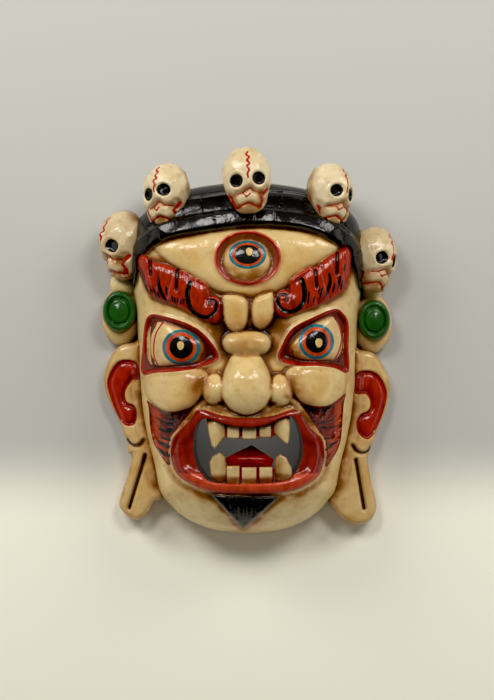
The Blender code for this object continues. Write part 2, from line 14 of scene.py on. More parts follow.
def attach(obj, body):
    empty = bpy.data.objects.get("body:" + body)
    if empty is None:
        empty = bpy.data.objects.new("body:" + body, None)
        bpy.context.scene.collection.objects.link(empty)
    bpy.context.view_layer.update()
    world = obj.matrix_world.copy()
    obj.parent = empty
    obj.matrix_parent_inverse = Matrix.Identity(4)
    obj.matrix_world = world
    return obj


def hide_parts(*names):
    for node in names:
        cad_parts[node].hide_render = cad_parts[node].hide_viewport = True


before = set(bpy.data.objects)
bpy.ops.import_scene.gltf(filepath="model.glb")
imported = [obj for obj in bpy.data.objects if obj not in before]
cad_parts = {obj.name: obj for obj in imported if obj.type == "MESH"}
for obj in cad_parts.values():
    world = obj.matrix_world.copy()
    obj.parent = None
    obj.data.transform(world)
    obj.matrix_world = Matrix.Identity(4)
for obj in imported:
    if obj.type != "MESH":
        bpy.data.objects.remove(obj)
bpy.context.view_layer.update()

# ---- The block ------------------------------------------------------------------------------
# One piece of light hardwood, cut to the plan of the head. Its front is rounded over into steep
# sides, its back is sawn flat, and a round-ended hollow is gouged out for the wearer's face.

FACE_FRONT = 77.0
FACE_ROUND = 70.0
FACE_FULLNESS = 2.5  # 2 is a quarter circle, more is a flatter front with steeper sides
HEAD_HALF = [
    (0, -179.5), (20, -178), (40, -174), (60, -164), (74, -151), (83, -138), (88.5, -112),
    (93.5, -92), (98, -68), (100.5, -40), (102, 0), (104, 30), (107.5, 52), (108.5, 78), (106, 98),
    (99, 115), (79, 131), (54, 140), (23, 145), (0, 146.5),
]
HOLLOW_CENTRE = (0.0, -20.0)
HOLLOW_HALF = (82.0, 135.0)
HOLLOW_DEPTH = 58.0
HOLLOW_FULLNESS = 2.8
RIM, LIP = 0.55, 0.6  # how far down the ball its front ends, and its hollow begins
CROWDING = 2.5  # how closely the ball's points crowd towards the rim


def smooth(points, steps=5, closed=True):
    """A Catmull-Rom curve through the points."""
    points = np.array(points, float)
    ends = (points[-1:], points[:2]) if closed else (points[:1], points[-1:])
    padded = np.concatenate([ends[0], points, ends[1]])
    t = np.linspace(0, 1, steps, endpoint=False)[:, None]
    runs = []
    for a, b, c, d in zip(padded[:-3], padded[1:-2], padded[2:-1], padded[3:]):
        runs.append(
            b + 0.5 * t * (c - a + t * (2 * a - 5 * b + 4 * c - d + t * (3 * (b - c) + d - a)))
        )
    if not closed:
        runs.append(points[-1:])
    return np.concatenate(runs)


def nearest(points, x, y, closed):
    """Squared distance to the line through the points, how far along it (0 to 1), and inside."""
    squared = np.full(x.shape, np.inf)
    along = np.zeros(x.shape)
    inside = np.zeros(x.shape, bool)
    ends = np.roll(points, -1, axis=0) if closed else points[1:]
    for index, ((ax, ay), (bx, by)) in enumerate(zip(points, ends)):
        ex, ey = bx - ax, by - ay
        t = np.clip(((x - ax) * ex + (y - ay) * ey) / max(ex * ex + ey * ey, 1e-9), 0, 1)
        here = (x - ax - t * ex) ** 2 + (y - ay - t * ey) ** 2
        along = np.where(here < squared, (index + t) / len(ends), along)
        squared = np.minimum(squared, here)
        crosses = (ay > y) != (by > y)
        inside ^= crosses & (x < ax + (y - ay) * ex / (ey if ey else 1.0))
    return squared, along, inside


def around(points, x, y, reach):
    """Which of the x and y are within reach of the points' box."""
    low, high = points.min(axis=0) - reach, points.max(axis=0) + reach
    return (x > low[0]) & (x < high[0]) & (y > low[1]) & (y < high[1])


def depth_inside(outline, x, y, reach=16.0):
    """How far each point lies inside the outline: negative outside, and no lower than -reach."""
    depth = np.full(x.shape, -reach)
    near = around(outline, x, y, reach)
    squared, _, inside = nearest(outline, x[near], y[near], True)
    depth[near] = np.where(inside, 1, -1) * np.sqrt(squared)
    return np.maximum(depth, -reach)


def points_of(bm_or_mesh):
    if isinstance(bm_or_mesh, bmesh.types.BMesh):
        return np.array([vertex.co for vertex in bm_or_mesh.verts])
    points = np.empty(len(bm_or_mesh.vertices) * 3)
    bm_or_mesh.vertices.foreach_get("co", points)
    return points.reshape(-1, 3)


def move_points(bm, points):
    for vertex, point in zip(bm.verts, points):
        vertex.co = point


def new_object(name, bm):
    """A mesh object, with its faces turned out, from a closed bmesh that is then freed."""
    bmesh.ops.recalc_face_normals(bm, faces=bm.faces)
    mesh = bpy.data.meshes.new(name)
    bm.to_mesh(mesh)
    bm.free()
    made = bpy.data.objects.new(name, mesh)
    bpy.context.scene.collection.objects.link(made)
    return made


HEAD = smooth(HEAD_HALF + [(-x, y) for x, y in HEAD_HALF[-2:0:-1]])


def dome(x, y):
    edge = 1 - np.clip(depth_inside(HEAD, x, y) / FACE_ROUND, 0, 1)
    return FACE_FRONT * (1 - edge ** FACE_FULLNESS) ** (1 / FACE_FULLNESS)


def hollow(x, y):
    plan = (np.abs(x - HOLLOW_CENTRE[0]) / HOLLOW_HALF[0]) ** HOLLOW_FULLNESS
    plan = plan + (np.abs(y - HOLLOW_CENTRE[1]) / HOLLOW_HALF[1]) ** HOLLOW_FULLNESS
    return HOLLOW_DEPTH * np.maximum(1 - plan, 0) ** (1 / HOLLOW_FULLNESS)


def fine_ball(subdivisions):
    """A ball, with each point's heading and how far down it lies, from 0 at the top to 1."""
    bm = bmesh.new()
    bmesh.ops.create_icosphere(bm, subdivisions=subdivisions, radius=1.0)
    unit = points_of(bm)
    return bm, np.arctan2(unit[:, 1], unit[:, 0]), np.arccos(np.clip(unit[:, 2], -1, 1)) / math.pi


def reach_of(outline, centre, heading):
    """How far the outline lies from the centre at each heading."""
    start = np.array(outline, float) - centre
    steps = np.linspace(0, 1, 12, endpoint=False)[:, None, None]
    out = (start + steps * (np.roll(start, -1, axis=0) - start)).reshape(-1, 2)
    angles = np.arctan2(out[:, 1], out[:, 0])
    order = np.argsort(angles)
    return np.interp(heading, angles[order], np.hypot(out[:, 0], out[:, 1])[order],
                     period=2 * math.pi)


def block_of_head():
    """A ball drawn out to the head's plan: its top half is the front, its underside the hollow."""
    bm, heading, down = fine_ball(6)
    radius = reach_of(HEAD, HOLLOW_CENTRE, heading)
    direction = np.stack([np.cos(heading), np.sin(heading)])
    superellipse = (np.abs(direction[0] / HOLLOW_HALF[0]) ** HOLLOW_FULLNESS
                    + np.abs(direction[1] / HOLLOW_HALF[1]) ** HOLLOW_FULLNESS)
    inner = superellipse ** (-1 / HOLLOW_FULLNESS)
    front = radius * (1 - np.clip(1 - down / RIM, 0, 1) ** CROWDING)
    flat = radius + (inner - radius) * (down - RIM) / (LIP - RIM)
    back = inner * (1 - np.clip(1 - (1 - down) / (1 - LIP), 0, 1) ** CROWDING)
    reach = np.where(down <= RIM, front, np.where(down <= LIP, flat, back))
    x = HOLLOW_CENTRE[0] + reach * direction[0]
    y = HOLLOW_CENTRE[1] + reach * direction[1]
    z = np.where(down <= RIM, dome(x, y), np.where(down <= LIP, 0, hollow(x, y)))
    move_points(bm, np.stack([x, y, z], axis=1))
    return new_object("carved_head", bm)


# ---- The forehead and its third eye ---------------------------------------------------------
# The forehead swells between hair and brows. The third eye lies in a sunk ring with a turned lip,
# upright, its ball cut round and left standing.

RELIEF = []  # functions of z, x and y, in the order in which they are carved
FOREHEAD = smooth([(-84, 83), (-54, 92), (0, 99.5), (56, 95), (82, 82), (56, 62), (29, 43),
                   (0, 35), (-30, 44), (-58, 60)])
RING_CENTRE = (0.0, 72.0)
RING_RADII = (28.5, 23.5)
RING_MEAN_RADIUS = 25.0
RING_BEAD = (-1.6, 4.5)  # depth and width, as for every cut; this one stands up
RING_SINK = 4.5
THIRD_BALL = (-0.5, 68.6, 22.0, 20.0)  # x, y and the two radii
THIRD_BALL_BED = 7.0
FOREHEAD_SWELL = 6.0
FOREHEAD_ROUND = 16.0


def ramp(value, low, high):
    """0 below low, 1 above high, eased between."""
    t = np.clip((value - low) / (high - low), 0, 1)
    return t * t * (3 - 2 * t)


def pillow(depth, radius):
    """A quarter-round edge: 0 at the outline, 1 from radius inwards."""
    return np.sqrt(1 - (1 - np.clip(depth / radius, 0, 1)) ** 2)


def groove(distance, width):
    """A round-bottomed cut: 1 in its middle, 0 past half its width."""
    return 1 - ramp(distance, 0, width / 2)


def cut(z, distance, depth, width):
    """The surface after a round-bottomed cut, or under a bead where the depth is negative."""
    return z - depth * groove(distance, width)


def third_ring(x, y):
    """Millimetres outside the ring's lip; negative within."""
    return RING_MEAN_RADIUS * (np.hypot((x - RING_CENTRE[0]) / RING_RADII[0],
                                        (y - RING_CENTRE[1]) / RING_RADII[1]) - 1)


def forehead(z, x, y):
    ring = third_ring(x, y)
    z = z + FOREHEAD_SWELL * pillow(depth_inside(FOREHEAD, x, y), FOREHEAD_ROUND)
    z = cut(z, np.abs(ring), *RING_BEAD) - RING_SINK * (1 - ramp(ring, -8, -0.4))
    plan = ((x - THIRD_BALL[0]) / THIRD_BALL[2]) ** 2 + ((y - THIRD_BALL[1]) / THIRD_BALL[3]) ** 2
    return z + THIRD_BALL_BED * np.sqrt(np.maximum(1 - plan, 0))


RELIEF.append(forehead)

# ---- The brows ------------------------------------------------------------------------------
# Two flaming brows stand proud of the forehead. Slots are knifed down into them from above, their
# upper edge is nicked into tongues of flame, and each ends by the nose in a curl.

BROW_LEFT = smooth([(-97.5, 74), (-98, 66), (-95, 55), (-89, 42), (-77.5, 35), (-60, 29),
                    (-48.5, 22.5), (-37.5, 17.5), (-28.5, 15), (-23.5, 19), (-22, 26), (-23, 33.5),
                    (-27, 37.5), (-32, 38), (-34.5, 35), (-34, 40), (-35.5, 46), (-42, 52),
                    (-48, 53.5), (-54.5, 58.5), (-63, 61.5), (-71, 65.2), (-77.5, 67), (-85, 70),
                    (-91.5, 75)], 4)
BROW_RIGHT = smooth([(88.5, 82.5), (84, 80), (77.5, 76), (68.5, 70), (63, 65.3), (59.5, 63.2),
                     (54, 62.3), (44.5, 57), (39, 51.5), (37.7, 46), (37.7, 41), (33, 43.5),
                     (27.5, 40.8), (24, 34.8), (25, 24), (31.5, 20), (40, 22.5), (51, 26.5),
                     (62, 30), (73, 35.5), (83, 41.5), (87.5, 46), (91, 57), (92.5, 68),
                     (92, 78)], 4)
BROW_STAND = 6.0
BROW_TAIL_STAND = 7.0  # how much further its outer end stands
BROW_ROUND = 4.0
BROW_CROWN = 1.5  # and how much more its middle stands than its edges
BROW_FLUTE = 12.0  # from one shallow flute to the next
FLUTE_DEPTH = 1.2
SLOT_CUT = (4, 5)
CURL_CUT = (1.6, 3.6)
BROW_SLOTS = [((-87, 70.5), (-86.3, 58)), ((-62.5, 61), (-63, 44.5)),
              ((80.2, 77), (79.8, 59)), ((60.3, 61), (61.4, 47))]
CURLS = [smooth([(-50.5, 50.5), (-53.3, 41.4), (-52.2, 32.6), (-49.6, 26.5), (-44.3, 21.8),
                 (-36.7, 19.4), (-31.5, 21.5), (-28.1, 26), (-27.9, 31.5), (-30.4, 34.8),
                 (-33.8, 34), (-34, 31), (-32.2, 30)], closed=False),
         smooth([(48.2, 53), (50.4, 43.7), (49.8, 34.8), (45.6, 27.8), (38.7, 24.5), (31.5, 25.9),
                 (27.5, 30.8), (27.2, 35.9), (29.2, 39.5), (33, 40), (35, 37.5), (34.2, 34.2),
                 (31.5, 34.2)], closed=False)]
BROW_STROKES = [  # each a path, and how wide it is in the middle
    ([(-94.9, 64.7), (-93.2, 54.7), (-88.3, 40.5)], 1.5), ([(-87.4, 48.3), (-85.5, 40)], 0.9),
    ([(-83.8, 46.1), (-81.1, 36.8)], 1.2), ([(-80.6, 43.7), (-78.3, 35.6)], 0.9),
    ([(-78.6, 56.5), (-79.0, 49.2), (-76.6, 41.4), (-71.2, 33)], 2.8),
    ([(-72.7, 48.1), (-71.3, 37.6)], 1.2), ([(-67.5, 39.2), (-66.1, 32.8)], 1.0),
    ([(-65.1, 38.3), (-64.0, 31.7)], 0.9), ([(-62.4, 37.6), (-61.7, 31.3)], 0.9),
    ([(-59.5, 36.8), (-59.1, 30.4)], 1.0), ([(-56.9, 37.0), (-56.4, 30.4)], 0.9),
    ([(87.2, 68.0), (85.9, 60.0)], 1.1), ([(83.0, 57.8), (80.1, 43.7)], 1.7),
    ([(78.0, 50.9), (75.8, 40.9)], 1.3),
    ([(72.1, 60.3), (73.5, 51.4), (70.8, 42.6), (68.6, 36.5)], 2.7),
    ([(67.0, 47.2), (63.7, 34.8)], 1.2), ([(64.2, 48.6), (62.8, 39.2)], 1.0),
    ([(60.0, 39.2), (58.4, 31.8)], 1.1), ([(54.7, 43.7), (53.5, 30.6)], 1.1),
    ([(85.2, 53.6), (83.0, 43.7)], 0.9),
]


def distance_from(path, x, y, reach=16.0):
    """How far each point lies from the path, and no more than reach."""
    distance = np.full(x.shape, reach)
    path = np.array(path, float)
    near = around(path, x, y, reach)
    distance[near] = np.sqrt(nearest(path, x[near], y[near], False)[0])
    return np.minimum(distance, reach)


def stroke_depth(path, width, x, y, start=0.0):
    """Depth inside a brush stroke, pointed at its end and, unless start is 1, at its start."""
    path = np.array(path, float)
    depth = np.full(x.shape, -9.0)
    near = around(path, x, y, 4.0)
    squared, along, _ = nearest(path, x[near], y[near], False)
    swelling = np.sqrt(4 * along * (1 - along)) * (1 - start) + (1.1 - 0.8 * along) * start
    depth[near] = width / 2 * swelling - np.sqrt(squared)
    return depth


def brow_depth(x, y):
    return np.maximum(depth_inside(BROW_LEFT, x, y), depth_inside(BROW_RIGHT, x, y))


def brows(z, x, y):
    depth = brow_depth(x, y)
    stand = BROW_STAND + BROW_TAIL_STAND * ramp(np.abs(x), 70, 96)
    z = z + stand * pillow(depth + 1, BROW_ROUND) + BROW_CROWN * ramp(depth, 1, 8)
    for ends in BROW_SLOTS:
        z = cut(z, distance_from(ends, x, y), *SLOT_CUT)
    for curl in CURLS:
        z = cut(z, distance_from(curl, x, y), *CURL_CUT)
    flutes = np.abs(np.sin((np.abs(x) + 0.3 * y) * math.pi / BROW_FLUTE))
    return z - FLUTE_DEPTH * (1 - flutes) ** 2 * ramp(depth, -1, 2)


RELIEF.append(brows)

# ---- The eyes -------------------------------------------------------------------------------
# Each eye bulges from a sunk, slanting socket with a raised edge. The socket's floor is deepest
# at its two ends.

EYE_LEFT = smooth([(-87, 22), (-73, 20), (-52, 13), (-37, 2.5), (-26, -16), (-43, -24.5),
                   (-62, -28), (-80, -29), (-96, -30), (-95, -6), (-92.5, 14)])
EYE_RIGHT = smooth([(78, 27), (60, 20), (41, 10), (32, -3), (28, -18), (45, -23), (60, -23),
                    (77, -25), (91, -29), (91, -6), (91, 14), (86, 23)])
BALL_LEFT = smooth([(-79.5, 17.5), (-89.5, 10), (-91.5, -8), (-86.5, -24), (-62, -24), (-42, -21.5),
                    (-35.5, -13), (-41, 0), (-57, 9.5)])
BALL_RIGHT = smooth([(75, 22), (84, 16), (87.5, 0), (84, -16), (70, -19.5), (50, -19),
                     (37, -14), (37, -5), (49, 8.5)])
LID_BEAD = (-2.0, 8)
SOCKET_SINK = 4.5
EYE_BED = 6.0  # how far the wood rises under each eyeball
EYE_BED_ROUND = 12.0


def socket_depth(x, y):
    return np.maximum(depth_inside(EYE_LEFT, x, y), depth_inside(EYE_RIGHT, x, y))


def ball_depth(x, y):
    return np.maximum(depth_inside(BALL_LEFT, x, y, 25.0), depth_inside(BALL_RIGHT, x, y, 25.0))


def eyes(z, x, y):
    socket = socket_depth(x, y)
    z = cut(z, np.abs(socket), *LID_BEAD) - SOCKET_SINK * ramp(socket, 0, 6)
    return z + EYE_BED * pillow(ball_depth(x, y), EYE_BED_ROUND)


RELIEF.append(eyes)

# ---- The mouth ------------------------------------------------------------------------------
# The jaw swells under wide lips with a rolled edge, the mouth is sawn right through, flames lick
# back from its corners, and a ribbed tuft of beard hangs from the lower lip.

LIPS = smooth([(-43, -61), (-23, -66.5), (0, -69), (22, -66.8), (43.5, -61.5), (56, -77.5),
               (66.5, -87.5), (69, -97), (69, -109), (62.5, -124), (40, -135.5), (4, -137.5),
               (-32, -136), (-54.5, -127.5), (-65, -118.5), (-69, -106), (-69, -96), (-66, -86),
               (-51, -70.5)])
MOUTH = smooth([(-35, -70), (-16, -75.5), (0, -77.5), (16, -75), (35, -68), (43, -80), (46, -95),
                (45, -107), (40, -118), (29, -126), (0, -128), (-30, -126.5), (-39, -118),
                (-43.5, -108), (-45, -95), (-43, -79)])
MOUTH_BACK = 36.0
MOUTH_FRONT = 97.0
MOUTH_WIDENING = 1.12
MOUTH_MIDDLE = -98.0
JAW_SWELL = 11.0
JAW_RADII = (95, 80)
LIP_STAND = 4.0
LIP_ROUND = 5.0
LIP_FALL = 5.0  # how far the lips fall back towards the teeth
LIP_BEAD = (-1.2, 3)
FLAME_SINK = 3.0
STROKE_CUT = 1.0
LOCK_CUT = (2.4, 5)
BEARD_STAND = 4.0
BEARD_ROUND = 3.0
RIB = 7.5  # from one rib of the beard to the next
RIB_CUT = 1.5
FLAME_LEFT = smooth([(-91.5, -54.5), (-90, -62), (-89.5, -71.5), (-89, -78.5), (-87.5, -87.5),
                     (-85.5, -94.5), (-81, -101.5), (-76, -108.5), (-70.3, -113.5), (-66, -104),
                     (-65, -94), (-65.5, -87), (-62.8, -81.4), (-58.3, -74.6), (-53.3, -69),
                     (-49, -60.5), (-60, -63), (-70, -65), (-80, -62.5)])
FLAME_RIGHT = smooth([(89.2, -48.5), (87.5, -57), (86.8, -67), (86.2, -76), (85.7, -84),
                      (84.8, -92), (82, -100), (77.5, -107), (70.3, -115), (67, -104),
                      (66, -94.5), (65.5, -87), (60.8, -78.5), (55.2, -70.5), (49, -61),
                      (46.5, -56.5), (62, -59), (73, -58), (80, -54)])
FLAME_STROKES = [  # each a path from its thick end, and its width there
    ([(-55.1, -68.6), (-61, -67.3), (-67, -67.8)], 1.0), ([(-56.4, -70.4), (-66, -70.6)], 1.2),
    ([(-64.3, -73), (-70, -72), (-74.4, -70.5)], 2.2),
    ([(-66.9, -76.4), (-72.9, -75.4), (-82.4, -70.2)], 2.4),
    ([(-67.8, -81.3), (-74.4, -81.9), (-80.5, -80.5)], 2.9),
    ([(-69.8, -89.5), (-73, -89.2), (-78.5, -88.7)], 2.7),
    ([(-70.9, -95.8), (-76.9, -94.2), (-82, -91.4)], 3.1),
    ([(-71.2, -104), (-76.2, -102.2), (-80.5, -98.6)], 3.2),
    ([(62.2, -75), (71.1, -73.9), (77.1, -71.2), (81.5, -66.7)], 1.3),
    ([(66.2, -79), (78.1, -78.8), (83.8, -76.2)], 1.4),
    ([(68.7, -88.9), (77.5, -88.7)], 1.4),
    ([(74.6, -95), (80.1, -93.2), (83.2, -91.1)], 1.5), ([(70.2, -98.4), (76.5, -96.2)], 1.9),
    ([(70.9, -106.1), (75.5, -102)], 1.6), ([(57.3, -73.4), (63.2, -72.2)], 1.2),
    ([(55.8, -69.4), (62.2, -67.5)], 1.0),
]
FLAME_LOCKS = [  # the cuts between one lock of flame and the next
    [(-87.3, -69.4), (-84.8, -75.6), (-78, -79.4)], [(-87.1, -77), (-84.3, -82.5), (-77, -86)],
    [(-86, -83), (-83.3, -88.5), (-76, -92)], [(-83.5, -90), (-80.4, -95), (-74, -98.5)],
    [(73.6, -59.5), (68.4, -64), (65.4, -71.5)], [(84.5, -70), (79, -74.5), (70, -76.5)],
    [(84, -79), (78.1, -83.3), (76.5, -90)], [(83, -89), (77, -93), (71, -94)],
]
BEARD = np.array([(-32, -138), (0, -139.2), (29, -139.5), (-4, -171.5)], float)


def flame_depth(x, y):
    flames = np.maximum(depth_inside(FLAME_LEFT, x, y), depth_inside(FLAME_RIGHT, x, y))
    return np.minimum(flames, -depth_inside(LIPS, x, y) - 1.0)


def mouth(z, x, y):
    jaw = np.maximum(1 - (x / JAW_RADII[0]) ** 2 - ((y - MOUTH_MIDDLE) / JAW_RADII[1]) ** 2, 0)
    z = z + JAW_SWELL * jaw ** 1.5
    z = z - FLAME_SINK * ramp(flame_depth(x, y), 0, 3)
    for stroke, width in FLAME_STROKES:
        z = cut(z, distance_from(smooth(stroke, closed=False), x, y), STROKE_CUT, width + 1.5)
    for lock in FLAME_LOCKS:
        z = cut(z, distance_from(smooth(lock, closed=False), x, y), *LOCK_CUT)
    lips = depth_inside(LIPS, x, y)
    z = z + LIP_STAND * pillow(lips, LIP_ROUND) - LIP_FALL * ramp(lips, 7, 16)
    z = cut(z, np.abs(lips + 0.8), *LIP_BEAD)
    beard = depth_inside(BEARD, x, y)
    ribs = np.abs(np.sin((x + 2) * math.pi / RIB))
    return z + BEARD_STAND * pillow(beard, BEARD_ROUND) - RIB_CUT * (1 - ribs) * ramp(beard, 1.5, 4)


RELIEF.append(mouth)

# ---- The nose and cheeks --------------------------------------------------------------------
# A ball of a nose between two small wings, a bridge of stacked rolls under two frowning pads, and
# apple cheeks with a fold running down past each corner of the mouth.

PAD_LEFT = smooth([(-22.3, 37), (-18.7, 39.8), (-10, 39.5), (-3, 37.3), (0.3, 33.5), (1.1, 23.5),
                   (0, 14.5), (-4, 8), (-10, 6), (-15.5, 8.2), (-19.5, 14.5), (-21.6, 24.5)])
PAD_RIGHT = smooth([(3.6, 30), (5, 35), (9, 38), (15.4, 40.3), (22.2, 41.2), (23.2, 32.4),
                    (22.8, 21.4), (19.3, 13.5), (13.2, 9), (7.7, 9.8), (4.2, 14.8), (3.2, 23.6)])
BRIDGE = smooth([(-22.5, -2), (-18, 5), (-8, 8), (6, 8), (16, 5), (21, -2), (18, -11), (8, -15),
                 (-9, -15), (-19, -11)])
NOSE = smooth([(-12.5, -12), (-17.5, -21), (-22, -32), (-24, -43), (-22.8, -52), (-17, -60.5),
               (-9, -66), (-1, -67.8), (7, -66), (15, -60.5), (21, -52), (22, -43), (20.5, -32),
               (15.5, -21), (10, -12), (0, -9.5)])
NOSE_CENTRE = (-1, -42)
NOSE_BASE = 80.0
NOSE_RISE = (15, 9)  # at its root, and how much more at its tip
NOSE_FALL = 60  # how steeply its sides go on down into the cheeks
WINGS = [((-29.0, -44.5), (13.5, 14.5)), ((28.5, -45.5), (14.0, 15.0))]
WING_HEIGHTS = (77.0, 17.0)  # of each wing's middle, and its rise over that
NOSTRIL_CUT = (2.5, 5)
PAD_HEIGHT = 82.0
PAD_EDGE, PAD_CROWN = (7, 4), (3, 12)  # rise and radius of each
BRIDGE_HEIGHT = 80.0
BRIDGE_RISE = 13.0
BRIDGE_ROUND = 10.0
SHOULDER = 20.0  # how steeply the ground falls away round a roll, to be lost in the face
CHEEK_LEFT = smooth([(-94, -30), (-93, -48), (-82, -60), (-67, -65), (-50, -60), (-38, -46),
                     (-35, -30), (-52, -25), (-73, -26)])
CHEEK_RIGHT = smooth([(89, -31), (88, -47), (76, -59), (62, -61.5), (47, -55), (37, -42),
                      (34, -28), (52, -21), (73, -23)])
CHEEKS = [(CHEEK_LEFT, (-66, -42)), (CHEEK_RIGHT, (64, -40))]  # outlines and centres
CHEEK_RISE = 13.5
ROOT = ((0.0, -23.0, 68.0), (29.0, 27.0, 14.0))  # the saddle that the nose grows from
WEB = ((2.0, 20.0, 77.0), (8.0, 17.0, 6.0))  # what is left standing between the two pads
FOLDS = [smooth([(-35, -52), (-44, -60), (-55, -72), (-66, -88), (-71.5, -108)], closed=False),
         smooth([(34, -50), (44, -57), (54, -69), (65, -84), (71, -108)], closed=False)]
FOLD_BEAD = (-3.5, 9)


def higher(a, b, blend):
    """The higher of two surfaces, with the corner between them filled over the blend."""
    near = np.maximum(blend - np.abs(a - b), 0) / blend
    return np.maximum(a, b) + near * near * blend / 4


def ball(x, y, centre, radii):
    """The upper half of an ellipsoid, and far below where it isn't."""
    plan = ((x - centre[0]) / radii[0]) ** 2 + ((y - centre[1]) / radii[1]) ** 2
    return np.where(plan < 1, centre[2] + radii[2] * np.sqrt(np.maximum(1 - plan, 0)), -1000.0)


def swell(outline, centre, x, y, power=2.5):
    """A rounded swelling: 1 over the centre, 0 at the outline, with no ridges between."""
    away = np.hypot(x - centre[0], y - centre[1])
    reach = away / reach_of(outline, centre, np.arctan2(y - centre[1], x - centre[0]))
    return np.maximum(1 - reach ** power, 0) ** (1 / power), reach


def nose_and_cheeks(z, x, y):
    for cheek, centre in CHEEKS:
        z = z + CHEEK_RISE * swell(cheek, centre, x, y, 3.2)[0]
    for fold in FOLDS:
        z = cut(z, distance_from(fold, x, y), *FOLD_BEAD)
    for pad in (PAD_LEFT, PAD_RIGHT):
        depth = depth_inside(pad, x, y)
        roll = (PAD_HEIGHT + PAD_EDGE[0] * pillow(depth, PAD_EDGE[1])
                + PAD_CROWN[0] * pillow(depth, PAD_CROWN[1]))
        z = higher(z, roll + SHOULDER * np.minimum(depth, 0), blend=1.5)
    z = higher(z, ball(x, y, *WEB), blend=3.0)
    z = higher(z, ball(x, y, *ROOT), blend=6.0)
    depth = depth_inside(BRIDGE, x, y)
    roll = BRIDGE_HEIGHT + BRIDGE_RISE * pillow(depth, BRIDGE_ROUND)
    z = higher(z, roll + SHOULDER * np.minimum(depth, 0), blend=2.0)
    for side, (centre, radii) in zip((-1, 1), WINGS):
        wing = ball(x, y, (*centre, WING_HEIGHTS[0]), (*radii, WING_HEIGHTS[1]))
        z = higher(z, wing, blend=3.0)
        nostril = [(centre[0] - side * 9, -58.5), (centre[0] - side * 4, -56.5)]
        z = cut(z, distance_from(nostril, x, y), *NOSTRIL_CUT)
    rise, reach = swell(NOSE, NOSE_CENTRE, x, y, 2.2)
    nose = NOSE_BASE + (NOSE_RISE[0] + NOSE_RISE[1] * ramp(-y, 8, 36)) * rise
    return higher(z, nose - NOSE_FALL * np.maximum(reach - 1, 0), blend=8.0)


RELIEF.append(nose_and_cheeks)

# ---- The hair -------------------------------------------------------------------------------
# Three stepped rolls bind the brow, left as flat gouge cuts under black lacquer. The lowest roll
# stands furthest out, over the forehead.

HAIR = smooth([(-108, 47), (-112, 90), (-104, 125), (-60, 150), (0, 155), (60, 150), (104, 125),
               (112, 90), (108, 42), (101, 46), (96, 62), (84, 81), (58, 94.5), (28, 99.5),
               (0, 99.5), (-34, 95.5), (-70, 89), (-91, 77), (-98, 62), (-101, 50)])
HAIR_EDGE = smooth([(-101, 48), (-98, 62), (-91, 77), (-70, 89), (-34, 95.5), (0, 99.5),
                    (28, 99.5), (58, 94.5), (84, 81), (96, 62), (101, 46)], closed=False)
HAIR_STAND = 10.5
HAIR_WIDTH = 50.0  # of the band, from its lower edge to the crown
ROLL_STARTS = (16.5, 34.0)
ROLL_STEPS = (6.5, 6.5)
ROLL_TILTS = (0.1, 0.32, 0.55)  # how much flatter than the head each roll lies
EDGE_LENGTH = 250.0
ROLL_WIDTH = 17.0
GOUGE = 18.0  # the length of one gouge cut along a roll
GOUGE_LEAN, GOUGE_TWIST = 2.4, 0.06  # how far a cut leans along the roll, and across it
GOUGE_STEP = 0.4  # and how much deeper one goes than the next
ROLL_CUT = (3.4, 4.6)


def hair(z, x, y):
    squared, along, _ = nearest(HAIR_EDGE, x.ravel(), y.ravel(), False)
    up, along = np.sqrt(squared).reshape(x.shape), along.reshape(x.shape)
    roll = sum((up > start).astype(float) for start in ROLL_STARTS)
    stand = HAIR_STAND - sum(
        step * ramp(up, start, start + 2) for start, step in zip(ROLL_STARTS, ROLL_STEPS))
    for tilt, start, end in zip(ROLL_TILTS, (0, *ROLL_STARTS), (*ROLL_STARTS, HAIR_WIDTH)):
        stand = stand + tilt * (np.clip(up, start, end) - start)
    place = along * EDGE_LENGTH / GOUGE + 0.37 * roll
    place = place + 0.3 * np.sin(2.3 * place)
    across = place % 1 - 0.5
    lean = np.sin(37 * np.floor(place) + 11 * roll)  # no two cuts lean quite alike
    facet = GOUGE_LEAN * lean * across + GOUGE_STEP * np.cos(5 * lean)
    stand = stand + ramp(up, 0.5, 3) * facet
    stand = stand + GOUGE_TWIST * lean * (up - ROLL_WIDTH * roll - 8)
    for start in ROLL_STARTS:
        stand = cut(stand, np.abs(up - start), *ROLL_CUT)
    stand = stand * ramp(-brow_depth(x, y), 0, 3)
    return z + stand * pillow(depth_inside(HAIR, x, y), 5) * ramp(depth_inside(HEAD, x, y), 0, 4)


RELIEF.append(hair)

# ---- Carving the head -----------------------------------------------------------------------
# Everything above is cut into the block, each form in its turn, after the mouth has been sawn out.

BLOCK_VOXEL = 1.03  # of the even skin that the block gets before it is carved
ON_THE_BACK = 0.4  # what lies lower than this is on the sawn back


def apply_modifiers(made):
    graph = bpy.context.evaluated_depsgraph_get()
    mesh = bpy.data.meshes.new_from_object(made.evaluated_get(graph))
    old, name = made.data, made.data.name
    made.modifiers.clear()
    made.data = mesh
    bpy.data.meshes.remove(old)
    mesh.name = name
    return mesh


def even_out(made, voxel, rounds):
    """Remeshes a closed form, or several that overlap, into one even skin, and relaxes it."""
    remesh = made.modifiers.new("even", "REMESH")
    remesh.mode = "VOXEL"
    remesh.voxel_size = voxel
    relax = made.modifiers.new("relax", "SMOOTH")
    relax.iterations = rounds
    return apply_modifiers(made)


def slab(name, outline, low, high, widening=1.0):
    """A closed block: an outline, extruded between two heights, and widened towards the front."""
    bm = bmesh.new()
    face = bm.faces.new([bm.verts.new((x, y, low)) for x, y in outline])
    top = bmesh.ops.extrude_face_region(bm, geom=[face])
    lifted = [item for item in top["geom"] if isinstance(item, bmesh.types.BMVert)]
    bmesh.ops.translate(bm, verts=lifted, vec=(0, 0, high - low))
    bmesh.ops.scale(bm, verts=lifted, vec=(widening, 1, 1))
    return new_object(name, bm)


